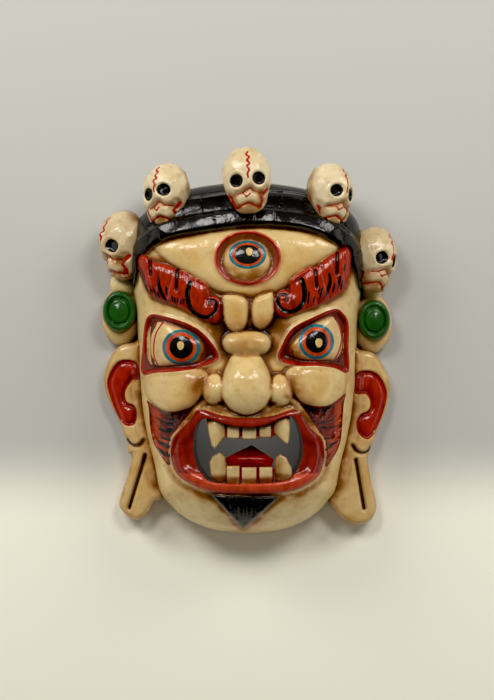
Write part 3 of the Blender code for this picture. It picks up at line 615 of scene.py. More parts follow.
def carved(x, y):
    """The height of the finished front."""
    z = dome(x, y)
    for form in RELIEF:
        z = form(z, x, y)
    return z


def put_points(mesh, points):
    mesh.vertices.foreach_set("co", points.astype(np.float32).ravel())
    mesh.update()


head = block_of_head()
cutter = slab("mouth_saw", MOUTH, MOUTH_BACK, MOUTH_FRONT, MOUTH_WIDENING)
saw = head.modifiers.new("mouth", "BOOLEAN")
saw.operation = "DIFFERENCE"
saw.object = cutter
apply_modifiers(head)
bpy.data.objects.remove(cutter, do_unlink=True)
even_out(head, BLOCK_VOXEL, 3)

points = points_of(head.data)
x, y, z = points.T
bottom, top = hollow(x, y), dome(x, y)
share = np.clip((z - bottom) / np.maximum(top - bottom, 1.0), 0, 1)  # of the way through the wall
z = np.where(share > 0.97, top, z)
points[:, 2] = np.where(z < ON_THE_BACK, 0.0, z + share * (carved(x, y) - top))
put_points(head.data, points)

# ---- The paint ------------------------------------------------------------------------------
# Chalky tempera is brushed on in flat coats, and a brown wash with painted shade in it darkens
# the hollows and the sides turned from the lamps. Shellac over all of it gives the gloss. A coat
# ends where the depth inside its outline falls to nothing.


def linear(colour):
    """Linear RGBA from a hex sRGB colour."""
    parts = [int(colour[i:i + 2], 16) / 255 for i in (1, 3, 5)]
    return [p / 12.92 if p <= 0.04045 else ((p + 0.055) / 1.055) ** 2.4 for p in parts] + [1.0]


def add_node(tree, kind, inputs=None, out=0, **settings):
    """Adds a shader node and gives one of its outputs. An input takes an output or a constant."""
    made = tree.nodes.new("ShaderNode" + kind)
    for name, value in settings.items():
        setattr(made, name, value)
    for name, value in (inputs or {}).items():
        if isinstance(value, bpy.types.NodeSocket):
            tree.links.new(value, made.inputs[name])
        else:
            made.inputs[name].default_value = value
    return made.outputs[out]


MM = 0.001
CREAM = "#d6c08a"
TAN = "#bd9450"
YELLOWED = "#a87a38"  # the film of old shellac
AMBER = "#d29a48"  # the brown wash and painted shade, where they are light
BROWN = "#6a400c"  # and where they are heavy
GRIME = "#6a4214"  # and where they lie on the coloured coats
PIT = "#4a3112"  # a pore that the paint has sunk into
CLOUD = 26.0  # millimetres, as all these: a patch where the cream was laid on thicker
GRAIN = 2.6  # of the chalk; the real one is under a millimetre, and would not show
STREAK = 9.0  # left by a hog brush,
STREAK_PULL = (1.6, 0.8, 0.8)  # drawn out up and down
FILM = 7.0  # a blotch in the old shellac
POOL = 12.0  # where the wash gathered before it dried
PORE_SPACING = 6.5
PORE_SHARE = 0.07  # of that, out to a pore's edge: 0.9 mm across, coarser than real ones
PORE_PATCH = 17.0  # they show only here and there
RIPPLE = 11.0  # the knife's work under the paint
RIPPLE_HEIGHT, GRAIN_HEIGHT, COAT_HEIGHT, PORE_HEIGHT = 0.45, 0.15, 0.06, -0.15
EASED = {"interpolation_type": "SMOOTHSTEP"}
MIX = {"out": 2, "data_type": "RGBA"}  # input 0 is the share; 6 and 7 are the two colours


def painted(name, coats, light=CREAM, shade=TAN, roughness=0.45, aged=0.4):
    """Tempera on wood: coats are (attribute, colour, darker colour) in the order of brushing."""
    material = bpy.data.materials.new(name)
    material.use_nodes = True
    tree = material.node_tree
    place = add_node(tree, "TexCoord", out="Object")
    place = add_node(tree, "VectorMath", {0: place, "Scale": 1 / MM}, operation="SCALE")
    broad = add_node(tree, "TexNoise", {"Vector": place, "Scale": 1 / CLOUD, "Detail": 3.0})
    fine = add_node(tree, "TexNoise", {"Vector": place, "Scale": 1 / GRAIN, "Detail": 3.0})

    # the ground: cream, tan in random patches and where toned or given painted shade, paler where
    # given painted light, under a film of shellac that has yellowed
    patch = add_node(tree, "MapRange", {"Value": broad, "From Min": 0.35, "From Max": 0.8},
                     **EASED)
    warm = add_node(tree, "Attribute", out="Fac", attribute_name="warm")
    warm = add_node(tree, "Math", {0: warm, 1: patch}, operation="ADD")
    warm = add_node(tree, "MapRange", {"Value": warm, "From Max": 1.6})
    colour = add_node(tree, "Mix", {0: warm, 6: linear(light), 7: linear(shade)}, **MIX)
    film = add_node(tree, "TexNoise", {"Vector": place, "Scale": 1 / FILM, "Detail": 5.0})
    film = add_node(tree, "MapRange", {"Value": film, "From Min": 0.48, "From Max": 0.78},
                    **EASED)
    film = add_node(tree, "Math", {0: film, 1: aged}, operation="MULTIPLY")
    colour = add_node(tree, "Mix", {0: film, 6: colour, 7: linear(YELLOWED)}, **MIX)

    # the wash and painted shade: a clear amber where they are light, brown where heavy
    pool = add_node(tree, "TexNoise", {"Vector": place, "Scale": 1 / POOL, "Detail": 4.0})
    pool = add_node(tree, "MapRange", {"Value": pool, "From Min": 0.1, "From Max": 0.65},
                    **EASED)
    wash = add_node(tree, "Attribute", out="Fac", attribute_name="wash")
    wash = add_node(tree, "Math", {0: wash, 1: pool}, operation="MULTIPLY")
    thin = add_node(tree, "MapRange", {"Value": wash, "From Max": 0.6})
    colour = add_node(tree, "Mix", {0: thin, 6: colour, 7: linear(AMBER)}, **MIX,
                      blend_type="MULTIPLY")
    thick = add_node(tree, "MapRange", {"Value": wash, "From Min": 0.3, "From Max": 1.4})
    colour = add_node(tree, "Mix", {0: thick, 6: colour, 7: linear(BROWN)}, **MIX)

    # the coats: each ends in an uneven edge, and its colour lies in brush streaks
    uneven = add_node(tree, "Math", {0: fine, 1: 0.5, 2: -0.25}, operation="MULTIPLY_ADD")
    pulled = add_node(tree, "VectorMath", {0: place, 1: STREAK_PULL}, operation="MULTIPLY")
    streak = add_node(tree, "TexNoise", {"Vector": pulled, "Scale": 1 / STREAK})
    streak = add_node(tree, "MapRange", {"Value": streak, "From Min": 0.35, "From Max": 0.7},
                      **EASED)
    height = 0.0
    for coat, tone, dark in coats:
        depth = add_node(tree, "Attribute", out="Fac", attribute_name=coat)
        depth = add_node(tree, "Math", {0: depth, 1: uneven}, operation="ADD")
        edge = add_node(tree, "MapRange", {"Value": depth, "From Min": 0.1, "From Max": 0.4},
                        **EASED)
        tones = add_node(tree, "Mix", {0: streak, 6: linear(tone), 7: linear(dark)}, **MIX)
        colour = add_node(tree, "Mix", {0: edge, 6: colour, 7: tones}, **MIX)
        raised = add_node(tree, "Math", {0: edge, 1: COAT_HEIGHT}, operation="MULTIPLY")
        height = add_node(tree, "Math", {0: height, 1: raised}, operation="ADD")
    # the wash and painted shade darken the coloured coats as well
    grime = add_node(tree, "Math", {0: wash, 1: 0.55}, operation="MULTIPLY")
    colour = add_node(tree, "Mix", {0: grime, 6: colour, 7: linear(GRIME)}, **MIX,
                      blend_type="MULTIPLY")

    # the wood: its open pores and the ripple of the knife come through every coat
    pore = add_node(tree, "TexVoronoi", {"Vector": place, "Scale": 1 / PORE_SPACING})
    pore = add_node(tree, "Math", {0: pore, 1: PORE_SHARE}, operation="LESS_THAN")
    open_here = add_node(tree, "TexNoise", {"Vector": place, "Scale": 1 / PORE_PATCH})
    open_here = add_node(tree, "MapRange", {"Value": open_here, "From Min": 0.5,
                                            "From Max": 0.62}, **EASED)
    pore = add_node(tree, "Math", {0: pore, 1: open_here}, operation="MULTIPLY")
    dark = add_node(tree, "Math", {0: pore, 1: 0.75}, operation="MULTIPLY")
    colour = add_node(tree, "Mix", {0: dark, 6: colour, 7: linear(PIT)}, **MIX)
    ripple = add_node(tree, "TexNoise", {"Vector": place, "Scale": 1 / RIPPLE, "Detail": 3.0})
    for pattern, tall in ((fine, GRAIN_HEIGHT), (ripple, RIPPLE_HEIGHT), (pore, PORE_HEIGHT)):
        height = add_node(tree, "Math", {0: pattern, 1: tall, 2: height},
                          operation="MULTIPLY_ADD")
    bump = add_node(tree, "Bump", {"Height": height, "Distance": MM})
    rough = add_node(tree, "Math", {0: broad, 1: 0.2, 2: roughness}, operation="MULTIPLY_ADD")
    shader = tree.nodes["Principled BSDF"]
    for socket, output in (("Normal", bump), ("Coat Normal", bump), ("Base Color", colour),
                           ("Roughness", rough)):
        tree.links.new(output, shader.inputs[socket])
    shader.inputs["Specular IOR Level"].default_value = 0.06  # chalk has almost no shine,
    shader.inputs["Coat Weight"].default_value = 0.7  # and the shellac gives it all
    shader.inputs["Coat Roughness"].default_value = 0.12
    return material


def give(mesh, **fields):
    """Stores named values, one for every vertex."""
    for name, values in fields.items():
        layer = mesh.attributes.new(name, "FLOAT", "POINT")
        layer.data.foreach_set("value", np.asarray(values, np.float32))


HEAD_CENTRE = (0.0, 4.7, 0.0)  # the carving's centre line, from the middle of the block


def finished(made, material, smoothly=True):
    """Moves a piece from the carving's millimetres to its place, and gives it its paint."""
    mesh = made.data
    put_points(mesh, (points_of(mesh) + HEAD_CENTRE) * MM)
    mesh.polygons.foreach_set("use_smooth", [smoothly] * len(mesh.polygons))
    mesh.materials.clear()
    mesh.materials.append(material)
    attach(made, "root")
    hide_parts("mask")
    return made


# ---- The ears -------------------------------------------------------------------------------
# Long-lobed ears lean back beside the face: each is a plank with a scooped bowl, a crease and a
# slit lobe. Over each ear stands a domed pad with a turned green disc set on it.

EAR_LEFT = smooth([(-92, 2), (-104, -2), (-119, -6), (-128, -18), (-133, -34), (-130.5, -52),
                   (-118, -76), (-114, -89), (-110.5, -97), (-110.5, -105), (-107, -107),
                   (-111.5, -127), (-118.5, -149), (-117, -157), (-110, -163.5), (-101.5, -166.5),
                   (-93.5, -161), (-86, -149.5), (-76, -138), (-80, -60)])
EAR_RIGHT = smooth([(92, -6), (104, -9), (117, -12.5), (125.5, -23.5), (131, -36.5), (132, -47),
                    (129, -62.5), (123, -77), (117, -92), (113.5, -102.5), (111.5, -110),
                    (114.5, -130), (119.5, -152), (118, -162), (111.5, -168.5), (99.5, -170.5),
                    (88, -165), (80.5, -156.5), (74, -142), (80, -60)])
BOWL_LEFT = smooth([(-101, -21.5), (-112, -18), (-122, -22), (-130, -38), (-127, -54),
                    (-119, -73), (-112, -79.5), (-104, -78), (-101.5, -69), (-104, -60.5),
                    (-111, -57), (-112.5, -48), (-106, -37.5), (-99, -36)])
BOWL_RIGHT = smooth([(98.5, -32), (111.5, -28), (122, -33), (129, -47), (128, -60),
                     (122.5, -76), (116, -89), (109, -92), (102, -86), (100, -76),
                     (104, -68.5), (111, -65), (113, -58), (109, -50.5), (98, -49)])
SLITS = [((-94, -106), (-109, -155)), ((100, -111), (107.5, -155.5))]
CREASES = [smooth([(-110.8, -92), (-107.5, -96), (-103.3, -97.8), (-99, -96.4), (-95.2, -92)],
                  closed=False),
           smooth([(96.5, -97), (101, -102.4), (105.8, -104.4), (110.5, -103), (114, -99)],
                  closed=False)]
EAR_FRONT = 25.0
EAR_LEAN = 0.18  # how fast the front falls back, away from the head
EAR_ROUND = 6.0
EAR_EDGE_DROP = 7.0
EAR_ROOT_RISE = 4.0  # where it grows from the head
EAR_VOXEL = 0.8
BOWL_SINK = 4.0
BOWL_SWELL = 3.0  # how far its middle comes up again
SLIT_CUT = (4, 7)
CREASE_CUT = (3.5, 7)
DISCS = [((-117.8, 26.2), (15.8, 19.5)), ((116.5, 18.0), (15.0, 19.0))]
PADS = [((-117.5, 22.5), (18.5, 28.0)), ((115.5, 15.5), (19.0, 28.0))]
PAD_FRONT = 24.0
PAD_DOME = 16.0
DISC_FRONT = 33.0
DISC_BACK = 10.0
DISC_RING = (2.5, 0.22)  # the turned groove, its width a share of the disc


def bowl_depth(x, y):
    return np.maximum(depth_inside(BOWL_LEFT, x, y), depth_inside(BOWL_RIGHT, x, y))


def slit_distance(x, y):
    return np.minimum(*(distance_from(slit, x, y) for slit in SLITS))


def crease_distance(x, y):
    return np.minimum(*(distance_from(crease, x, y) for crease in CREASES))


def ear_top(x, y):
    """The front of either ear, and 0 beyond them."""
    depth = np.maximum(depth_inside(EAR_LEFT, x, y), depth_inside(EAR_RIGHT, x, y))
    edge, bowl = 1 - pillow(depth, EAR_ROUND), bowl_depth(x, y)
    z = EAR_FRONT - EAR_LEAN * (np.abs(x) - 100) - EAR_EDGE_DROP * edge
    z = z + EAR_ROOT_RISE * ramp(depth_inside(HEAD, x, y), -8, 0) * ramp(y, -140, -120)
    z = z - BOWL_SINK * ramp(bowl, -1, 2.5) + BOWL_SWELL * pillow(bowl - 3, 7)
    z = cut(z, slit_distance(x, y), *SLIT_CUT)
    z = cut(z, crease_distance(x, y), *CREASE_CUT)
    return np.where(depth > -1, np.maximum(z, 4), 0)


def drawn_out(name, outline, centre, front, bottom, subdivisions=5, rim=0.8):
    """A ball drawn out to an outline about a centre; front gives heights from x, y and reach."""
    bm, heading, down = fine_ball(subdivisions)
    radius = reach_of(outline, centre, heading)
    reach = np.where(down <= rim, 1 - np.clip(1 - down / rim, 0, 1) ** 2, (1 - down) / (1 - rim))
    x = centre[0] + reach * radius * np.cos(heading)
    y = centre[1] + reach * radius * np.sin(heading)
    z = np.where(down <= rim, front(x, y, reach), bottom)
    move_points(bm, np.stack([x, y, z], axis=1))
    return new_object(name, bm)


def ellipse(centre, radii, count=96):
    turn = np.linspace(0, 2 * math.pi, count, endpoint=False)
    return np.stack([centre[0] + radii[0] * np.cos(turn), centre[1] + radii[1] * np.sin(turn)], 1)


GRID_X = np.arange(-146.0, 147.0)
GRID_Y = np.arange(-190.0, 170.0)
wide, tall = np.meshgrid(GRID_X, GRID_Y)
relief_map = np.maximum(np.where(depth_inside(HEAD, wide, tall) > 0, carved(wide, tall), 0),
                        ear_top(wide, tall))


def softened(heights, spread):
    """A height map blurred over so many millimetres."""
    reach = np.arange(-round(3 * spread), round(3 * spread) + 1)
    weights = np.exp(-0.5 * (reach / spread) ** 2)
    weights /= weights.sum()
    for axis in (0, 1):
        heights = np.apply_along_axis(np.convolve, axis, heights, weights, "same")
    return heights


# painted shade and brown wash: the further a point lies below the blurred relief, the more
wash_map = sum(
    share * np.clip((softened(relief_map, spread) - relief_map) / depth, 0, 1)
    for share, spread, depth in ((0.6, 1.8, 1.3), (0.8, 6.0, 4.5), (0.6, 15.0, 9.0)))


def wash_at(x, y):
    """How much brown wash and painted shade each point gets: read off between the map's points."""
    column = np.clip(x - GRID_X[0], 0, len(GRID_X) - 1.001)
    row = np.clip(y - GRID_Y[0], 0, len(GRID_Y) - 1.001)
    i, j = row.astype(int), column.astype(int)
    u, v = column - j, row - i
    return ((wash_map[i, j] * (1 - u) + wash_map[i, j + 1] * u) * (1 - v)
            + (wash_map[i + 1, j] * (1 - u) + wash_map[i + 1, j + 1] * u) * v)


# Waxy cream, with the bowls brushed deep red, and the slits and creases painted dark brown as
# shade.
ear_paint = painted("tempera_on_the_ears", [
    ("bowl", "#a02005", "#861603"), ("slit", "#4c2e0e", "#301c08"),
])
for side, outline in (("left", EAR_LEFT), ("right", EAR_RIGHT)):
    ear = slab(f"{side}_ear", outline, 0.0, EAR_FRONT)
    even_out(ear, EAR_VOXEL, 2)
    points = points_of(ear.data)
    x, y, z = points.T
    points[:, 2] = z / EAR_FRONT * ear_top(x, y)
    put_points(ear.data, points)
    # painted shade with a little even wash: darker in the hollows, where the ear meets the head and
    # round its outline
    give(ear.data, bowl=bowl_depth(x, y), warm=0 * x + 0.5,
         wash=0.6 * wash_at(x, y) * ramp(z, 2, 15) + 0.1
         + 0.15 * groove(np.abs(depth_inside(HEAD, x, y) + 2), 7)
         + 0.2 * (1 - ramp(depth_inside(outline, x, y), 0, 5)),
         slit=np.maximum(1.7 - slit_distance(x, y), 1.5 - crease_distance(x, y)))
    finished(ear, ear_paint)


def disc_front(x, y, reach):
    z = PAD_FRONT - 2 + (DISC_FRONT + 2 - PAD_FRONT) * pillow(1 - reach, 0.2)
    return cut(z, np.abs(reach - 0.62), *DISC_RING) + 1.5 * (1 - ramp(reach, 0, 0.55))


# The pads are cream, painted darker round each disc and towards their foot, as shade. The discs
# have one even, deep green that shines like glass.
pad_paint = painted("tempera_on_the_pads", [])
disc_paint = painted("green_lacquer", [], "#1d5014", "#10340b", aged=0.0)
for side, (pad, size), (middle, radii) in zip(("left", "right"), PADS, DISCS):
    piece = drawn_out(f"{side}_pad", ellipse(pad, size), pad,
                      lambda x, y, reach: PAD_FRONT - PAD_DOME * (1 - pillow(1 - reach, 0.7)),
                      0.0)
    x, y, z = points_of(piece.data).T
    close = np.hypot((x - middle[0]) / radii[0], (y - middle[1]) / radii[1])
    give(piece.data, wash=0.6 * groove(np.abs(close - 1), 0.16) + 0.8 * (1 - ramp(z, 0, 18)),
         warm=0 * x + 0.6)
    finished(piece, pad_paint)
    piece = drawn_out(f"{side}_disc", ellipse(middle, radii), middle, disc_front, DISC_BACK)
    finished(piece, disc_paint)

# ---- The eyeballs ---------------------------------------------------------------------------
# Three glossy balls, painted alike: teal and orange rings round a black pupil with a cream spark.
# A fine red vein runs down the outer white of the two lower ones.

EYE_RISE = 9.5
EYE_BACK = 55.0
EYES = [  # outline, centre, lift; then iris centre, teal, orange and black radii; spark, vein
    ("left", BALL_LEFT, (-64, -4), -5.0, (-59, -7), (17.5, 16), (14, 13.5), (10.9, 10.4),
     (-59.5, -5, 3.4),
     [(-75.5, 15.5), (-81, 7.5), (-83.5, 0.5), (-84.5, -10.5), (-83.5, -17), (-80.5, -23)]),
    ("right", BALL_RIGHT, (64, -1), -5.0, (61.5, -2), (16.2, 16), (13.3, 13.2), (10.4, 10.3),
     (63.5, -2.5, 3.6),
     [(79, 19), (82.5, 12), (84.5, 4.5), (84.5, -1.5), (82.5, -10), (79, -16.5)]),
    ("third", ellipse(THIRD_BALL[:2], THIRD_BALL[2:]), THIRD_BALL[:2], 1.8, (0, 75), (17, 13),
     (14, 10.7), (12, 8.8), (1.5, 78, 3.2), []),
]
# Flat colours ringed by hand, with hard edges, that gleam as if wet.
eye_paint = painted("tempera_on_the_eyeballs", [
    ("vein", "#a8281a", "#98201a"), ("teal", "#1d7480", "#125864"),
    ("orange", "#cf4d18", "#a83810"), ("pupil", "#0a0908", "#121110"),
    ("spark", "#d8bd80", "#c8a864"),
], "#d8c08a", "#bb9a5c")


def rounded(reach):
    """The height of a unit ball, at a share of the way out to its edge."""
    return np.sqrt(np.maximum(1 - reach ** 2, 0))


def oval_depth(x, y, centre, radii):
    return (1 - np.hypot((x - centre[0]) / radii[0], (y - centre[1]) / radii[1])) * min(radii)


for side, outline, middle, lift, iris, teal, orange, pupil, spark, vein in EYES:
    eyeball = drawn_out(f"{side}_eye", outline, middle, lambda x, y, reach: (
        dome(x, y) + lift + EYE_RISE * rounded(reach)), EYE_BACK, 6)
    x, y, z = points_of(eyeball.data).T
    drop = np.where(y < spark[1], 0.72, 1.0)
    # painted shade round each ball's edge, on its side towards the nose, and low on the third eye
    give(eyeball.data, teal=oval_depth(x, y, iris, teal), orange=oval_depth(x, y, iris, orange),
         pupil=oval_depth(x, y, iris, pupil),
         spark=spark[2] - np.hypot((x - spark[0]) / drop ** 0.2, (y - spark[1]) * drop),
         vein=1.0 - distance_from(smooth(vein, closed=False), x, y) if vein else 0 * x - 1,
         wash=0.45 * ramp(-depth_inside(np.array(outline), x, y), -4, 0) + 0.12
         + (0.7 * ramp(-np.abs(x), -56, -38) if side != "third" else 0.5 * ramp(-y, -72, -56)))
    finished(eyeball, eye_paint)

# ---- Teeth and tongue -----------------------------------------------------------------------
# Ivory-coloured pegs between long fangs, each its own knifed facet, stand on red gums. The tongue
# is a red lozenge with a fold across it.

TOOTH_FRONT = 84.0
GUM_FRONT = 80.0
TEETH_BACK = 71.0
FANG_STAND = 3.5  # how much further a fang stands than the other teeth
FANG_SLOPE, INCISOR_SLOPE = 0.6, 0.08  # how fast the facets fall away from the ridge
FANGS = [  # outlines, and where each one's knifed ridge runs
    ([(-36.8, -68), (-19.5, -70), (-19, -86), (-24.4, -91.4), (-28.8, -97.4), (-31.8, -94),
      (-34.3, -84.7)], -28.5),
    ([(37.4, -67), (37.6, -80.3), (36.6, -91), (35, -93.3), (29.9, -89.1), (22.6, -83),
      (22.6, -72)], 33.0),
    ([(-33.9, -109.1), (-31, -103.5), (-24.4, -100.2), (-19.5, -104.6), (-18.2, -115.7),
      (-19, -126), (-26.6, -127.3), (-32.5, -122.3)], -25.0),
    ([(23.7, -111.3), (25.3, -104.6), (28.8, -101.8), (34.3, -104.6), (38.9, -113.5),
      (40, -122.3), (35.4, -126.2), (25, -126)], 34.5),
]
INCISORS = [  # left, right, root and edge
    (-18.8, -6.6, -71, -88.2), (-5.4, 8.6, -72, -88.9), (9.8, 21.6, -71, -87.4),
    (-19.4, -6.4, -129, -112.4), (-5.8, 8.7, -130, -113.6), (9.7, 22.9, -129, -113.4),
]
GUMS = [(-21, -70, 24, -86.0), (-19, -125, 24, -115.5)]
TONGUE_FRONT = 66.0
TONGUE_BACK = 55.0
TONGUE = [(4, -95), (14, -101.5), (23.5, -107.5), (21, -116), (1, -118.5), (-17, -116),
          (-20, -106.5), (-8, -100.5)]

# Cream yellowed like old bone, dull iron red on the gums, and a tongue with a wetter shine.
tooth_paint = painted("tempera_on_the_teeth", [("gum", "#9c1f14", "#7c130b")],
                      "#d6c290", "#b09866")
gum_paint = painted("tempera_on_the_gums", [], "#8e1a0c", "#6a0f06", aged=0.0)
tongue_paint = painted("tempera_on_the_tongue", [("fold", "#6c0c06", "#520803")],
                       "#8e120a", "#6e0c05", 0.3, 0.0)


def make_tooth(name, outline, ridge, slope, stand):
    """A peg with eased edges, its front two facets that meet along a ridge."""
    outline = np.array(outline, float)
    middle = outline.mean(axis=0)
    root = outline[np.abs(outline[:, 1] - MOUTH_MIDDLE).argmax(), 1]
    lower, fang = root < MOUTH_MIDDLE, stand > 0

    def front(x, y, reach):
        eased = 2.5 * (1 - pillow(depth_inside(outline, x, y), 2))
        sunk = 4 * (1 - ramp(np.abs(y - root), 0, 8))
        return TOOTH_FRONT + stand - eased - sunk - slope * np.abs(x - ridge)

    tooth = drawn_out(name, outline, middle, front, TEETH_BACK)
    x, y, z = points_of(tooth.data).T
    seam = np.minimum(x - outline[:, 0].min(), outline[:, 0].max() - x)
    inner = ramp((ridge - x) * np.sign(ridge), 0.5, 8)  # the facet that faces the middle
    # painted shade at the root under the lips, on the lower teeth, on a fang's inner facet and
    # round each tooth's edge
    give(tooth.data, warm=0 * x + 0.6, gum=0 * x - 1 if fang else 1.2 - seam,
         wash=0.7 * (1 - ramp(np.abs(y - root), 2, 10)) + 0.1 * lower + 0.35 * fang * inner
         + 0.2 * (1 - ramp(depth_inside(outline, x, y), 0.2, 2.0)))
    finished(tooth, tooth_paint)


for index, (outline, ridge) in enumerate(FANGS):
    make_tooth(f"fang_{index}", outline, ridge, FANG_SLOPE, FANG_STAND)
for index, (left, right, root, edge) in enumerate(INCISORS):
    outline = [(left, root), (right, root), (right, edge), (left, edge)]
    make_tooth(f"incisor_{index}", outline, (left + right) / 2, INCISOR_SLOPE, 0.0)
for index, (left, root, right, edge) in enumerate(GUMS):
    low, high = sorted((root, edge))
    gum = slab(f"gum_{index}", [(left, low), (right, low), (right, high), (left, high)],
               TEETH_BACK + 1, GUM_FRONT)
    finished(gum, gum_paint, False)

tongue = drawn_out("tongue", np.array(TONGUE, float), (1, -106), lambda x, y, reach: (
    TONGUE_FRONT + 8 * (1 - reach) - 4 * ramp(y + 108, 0, 12)), TONGUE_BACK)
x, y, z = points_of(tongue.data).T
give(tongue.data, fold=y + 105.5 - 0.12 * np.abs(x), wash=0 * x)
finished(tongue, tongue_paint)

# ---- The skulls -----------------------------------------------------------------------------
# Five small skulls, knife-faceted, stand round the crown against black bosses of hair. Each has
# sunk sockets, a forked groove under the nose and a hollowed jaw, picked out in black and red.

SKULL_HALF_HEIGHT = 30.0
SKULLS = [  # centre; pitch, yaw, roll and how far the features slant, in degrees; size; sockets
    ("middle", (-0.5, 140.6, 88), (-3, 1, 7), 0, 1.0, [(-9.7, -2.0), (10.0, -2.0)]),
    ("upper_left", (-73.5, 130, 62), (-2, -27, -7), 15, 0.98, [(-8.6, -1.0), (8.0, 0.2)]),
    ("upper_right", (74.5, 130, 62), (-2, 38, 5), -10, 0.97, [(-7.6, 0.2), (10.2, -1.0)]),
    ("outer_left", (-113.5, 87, 28), (-2, -57, 3), 3, 1.08, [(-10.2, -2.0), (9.0, -2.2)]),
    ("outer_right", (115.5, 74, 28), (-2, 42, -2), -8, 1.02, [(-7.2, -0.8), (8.6, -1.0)]),
]
SKULL_LEVELS = (-1.0, -0.94, -0.72, -0.48, -0.2, 0.1, 0.4, 0.7, 0.9, 1.0)
SKULL_WIDTHS = (0.0, 9.5, 14.5, 17.5, 20.3, 21.8, 20.8, 16.0, 9.6, 0.0)
SKULL_DEPTHS = (0.0, 8.5, 14.0, 17.0, 19.5, 21.0, 20.5, 16.0, 9.5, 0.0)
SKULL_FLATS = 60  # knife cuts on each
FLATTENING = 0.75  # 1 would leave hard facets, 0 none
CRACK = smooth([(3.2, 22.5), (1.4, 19.8), (4.0, 17.2), (1.2, 14.4), (3.4, 11.6), (0.8, 8.6),
                (2.2, 5.4), (0.6, 2.2), (0.6, -1.2)], closed=False)
FORK = smooth([(-10.6, -13.6), (-5.0, -12.6), (1.2, -9.6), (5.0, -12.8), (10.4, -13.8)],
              closed=False)
LIP_STROKE = [(-5.4, -13.6), (-2.4, -17.0), (1.0, -14.2)]
JAW = [smooth([(-19.6, -11.6), (-15.6, -14.8), (-14.4, -19.4), (-11.8, -24.8)], closed=False),
       smooth([(16.5, -11.0), (13.6, -14.2), (10.6, -17.2), (10.4, -21.5), (8.2, -25.6)],
              closed=False)]
MOUTH_ARCH = smooth([(-11.8, -24.8), (-6.2, -22.8), (-1.2, -21.8), (4.2, -24.4), (8.2, -25.6)],
                    closed=False)
BOSSES = [((-0.5, 128, 60), (19, 24, 30)), ((-69, 122, 40), (21, 24, 30)),
          ((69, 122, 40), (21, 24, 30)), ((-105, 88, 33), (7, 15, 14)),
          ((106, 80, 33), (7, 15, 14))]
NECKS = [((-115, 51), (12.5, 13)), ((115, 49), (10.5, 12.5))]


def knife_flats(points, count):
    """Cuts an ellipsoid-like form to soft flats, their directions wound in a spiral."""
    size = np.abs(points).max(axis=0)
    unit = points / size
    distance = np.linalg.norm(unit, axis=1, keepdims=True)
    unit = unit / np.maximum(distance, 1e-6)
    step = np.arange(count) + 0.5
    height = 1 - 2 * step / count
    turn = step * math.pi * (3 - math.sqrt(5))
    across = np.sqrt(1 - height ** 2)
    flats = np.stack([across * np.cos(turn), height, across * np.sin(turn)])
    flat = 1 / np.maximum((unit @ flats).max(axis=1), 0.5)
    return points * (1 - FLATTENING + FLATTENING * (flat * 0.975))[:, None]


def skull_form(unit, slant, sockets):
    """Local points of a skull from those of a unit ball, and the fields that say where it's cut."""
    level = np.clip(unit[:, 1], -1, 1)
    turn = np.maximum(np.hypot(unit[:, 0], unit[:, 2]), 1e-6)
    profile = smooth(list(zip(SKULL_LEVELS, SKULL_WIDTHS, SKULL_DEPTHS)), 8, closed=False)
    x = np.interp(level, profile[:, 0], profile[:, 1]) * unit[:, 0] / turn
    z = np.interp(level, profile[:, 0], profile[:, 2]) * unit[:, 2] / turn
    x, y, z = knife_flats(np.stack([x, SKULL_HALF_HEIGHT * level, z], axis=1), SKULL_FLATS).T
    front = ramp(z, 0, 7)
    u = x * math.cos(slant) + y * math.sin(slant)
    v = y * math.cos(slant) - x * math.sin(slant)
    socket = np.minimum(*(np.hypot(u - middle[0], v - middle[1]) for middle in sockets))
    jaw = np.minimum(*(distance_from(side, u, v) for side in JAW))
    fork, arch = distance_from(FORK, u, v), distance_from(MOUTH_ARCH, u, v)
    nose = distance_from([(0.5, 8), (1.0, -7)], u, v)
    hollow_under = np.hypot(u + 1.2, (v + 25) * 1.4)
    carving = (4.5 * (1 - ramp(socket, 3.8, 6.6)) + 3.8 * groove(jaw, 9) + 3.0 * groove(fork, 8)
               + 1.8 * groove(arch, 5) + 1.8 * groove(hollow_under, 11)
               - 0.6 * groove(np.abs(socket - 7.6), 3.4) - 2.4 * groove(nose, 10))
    z = z - front * carving
    facing = np.where(z > 0, 0, -9)
    red = np.minimum(np.minimum(jaw - 0.5, arch - 0.2),
                     np.minimum(distance_from(LIP_STROKE, u, v), fork + 0.1))
    # painted shade: darker in the cuts, round the back and at the chin, and tan on the lower half
    fields = {
        "socket": 5.9 - socket + facing,
        "red": np.maximum(0.9 - red, 1.15 - distance_from(CRACK, u, v)) + facing,
        "wash": front * (0.45 * groove(jaw, 11) + 0.45 * groove(fork, 9) + 0.35 * groove(arch, 7)
                         + 0.3 * groove(hollow_under, 14))
        + 0.45 * (1 - ramp(z, -6, 6)) + 0.25 * ramp(-y, 20, 30) + 0.1,
        "warm": 0.5 * ramp(-y, 5, 30),
    }
    return np.stack([x, y, z], axis=1), fields


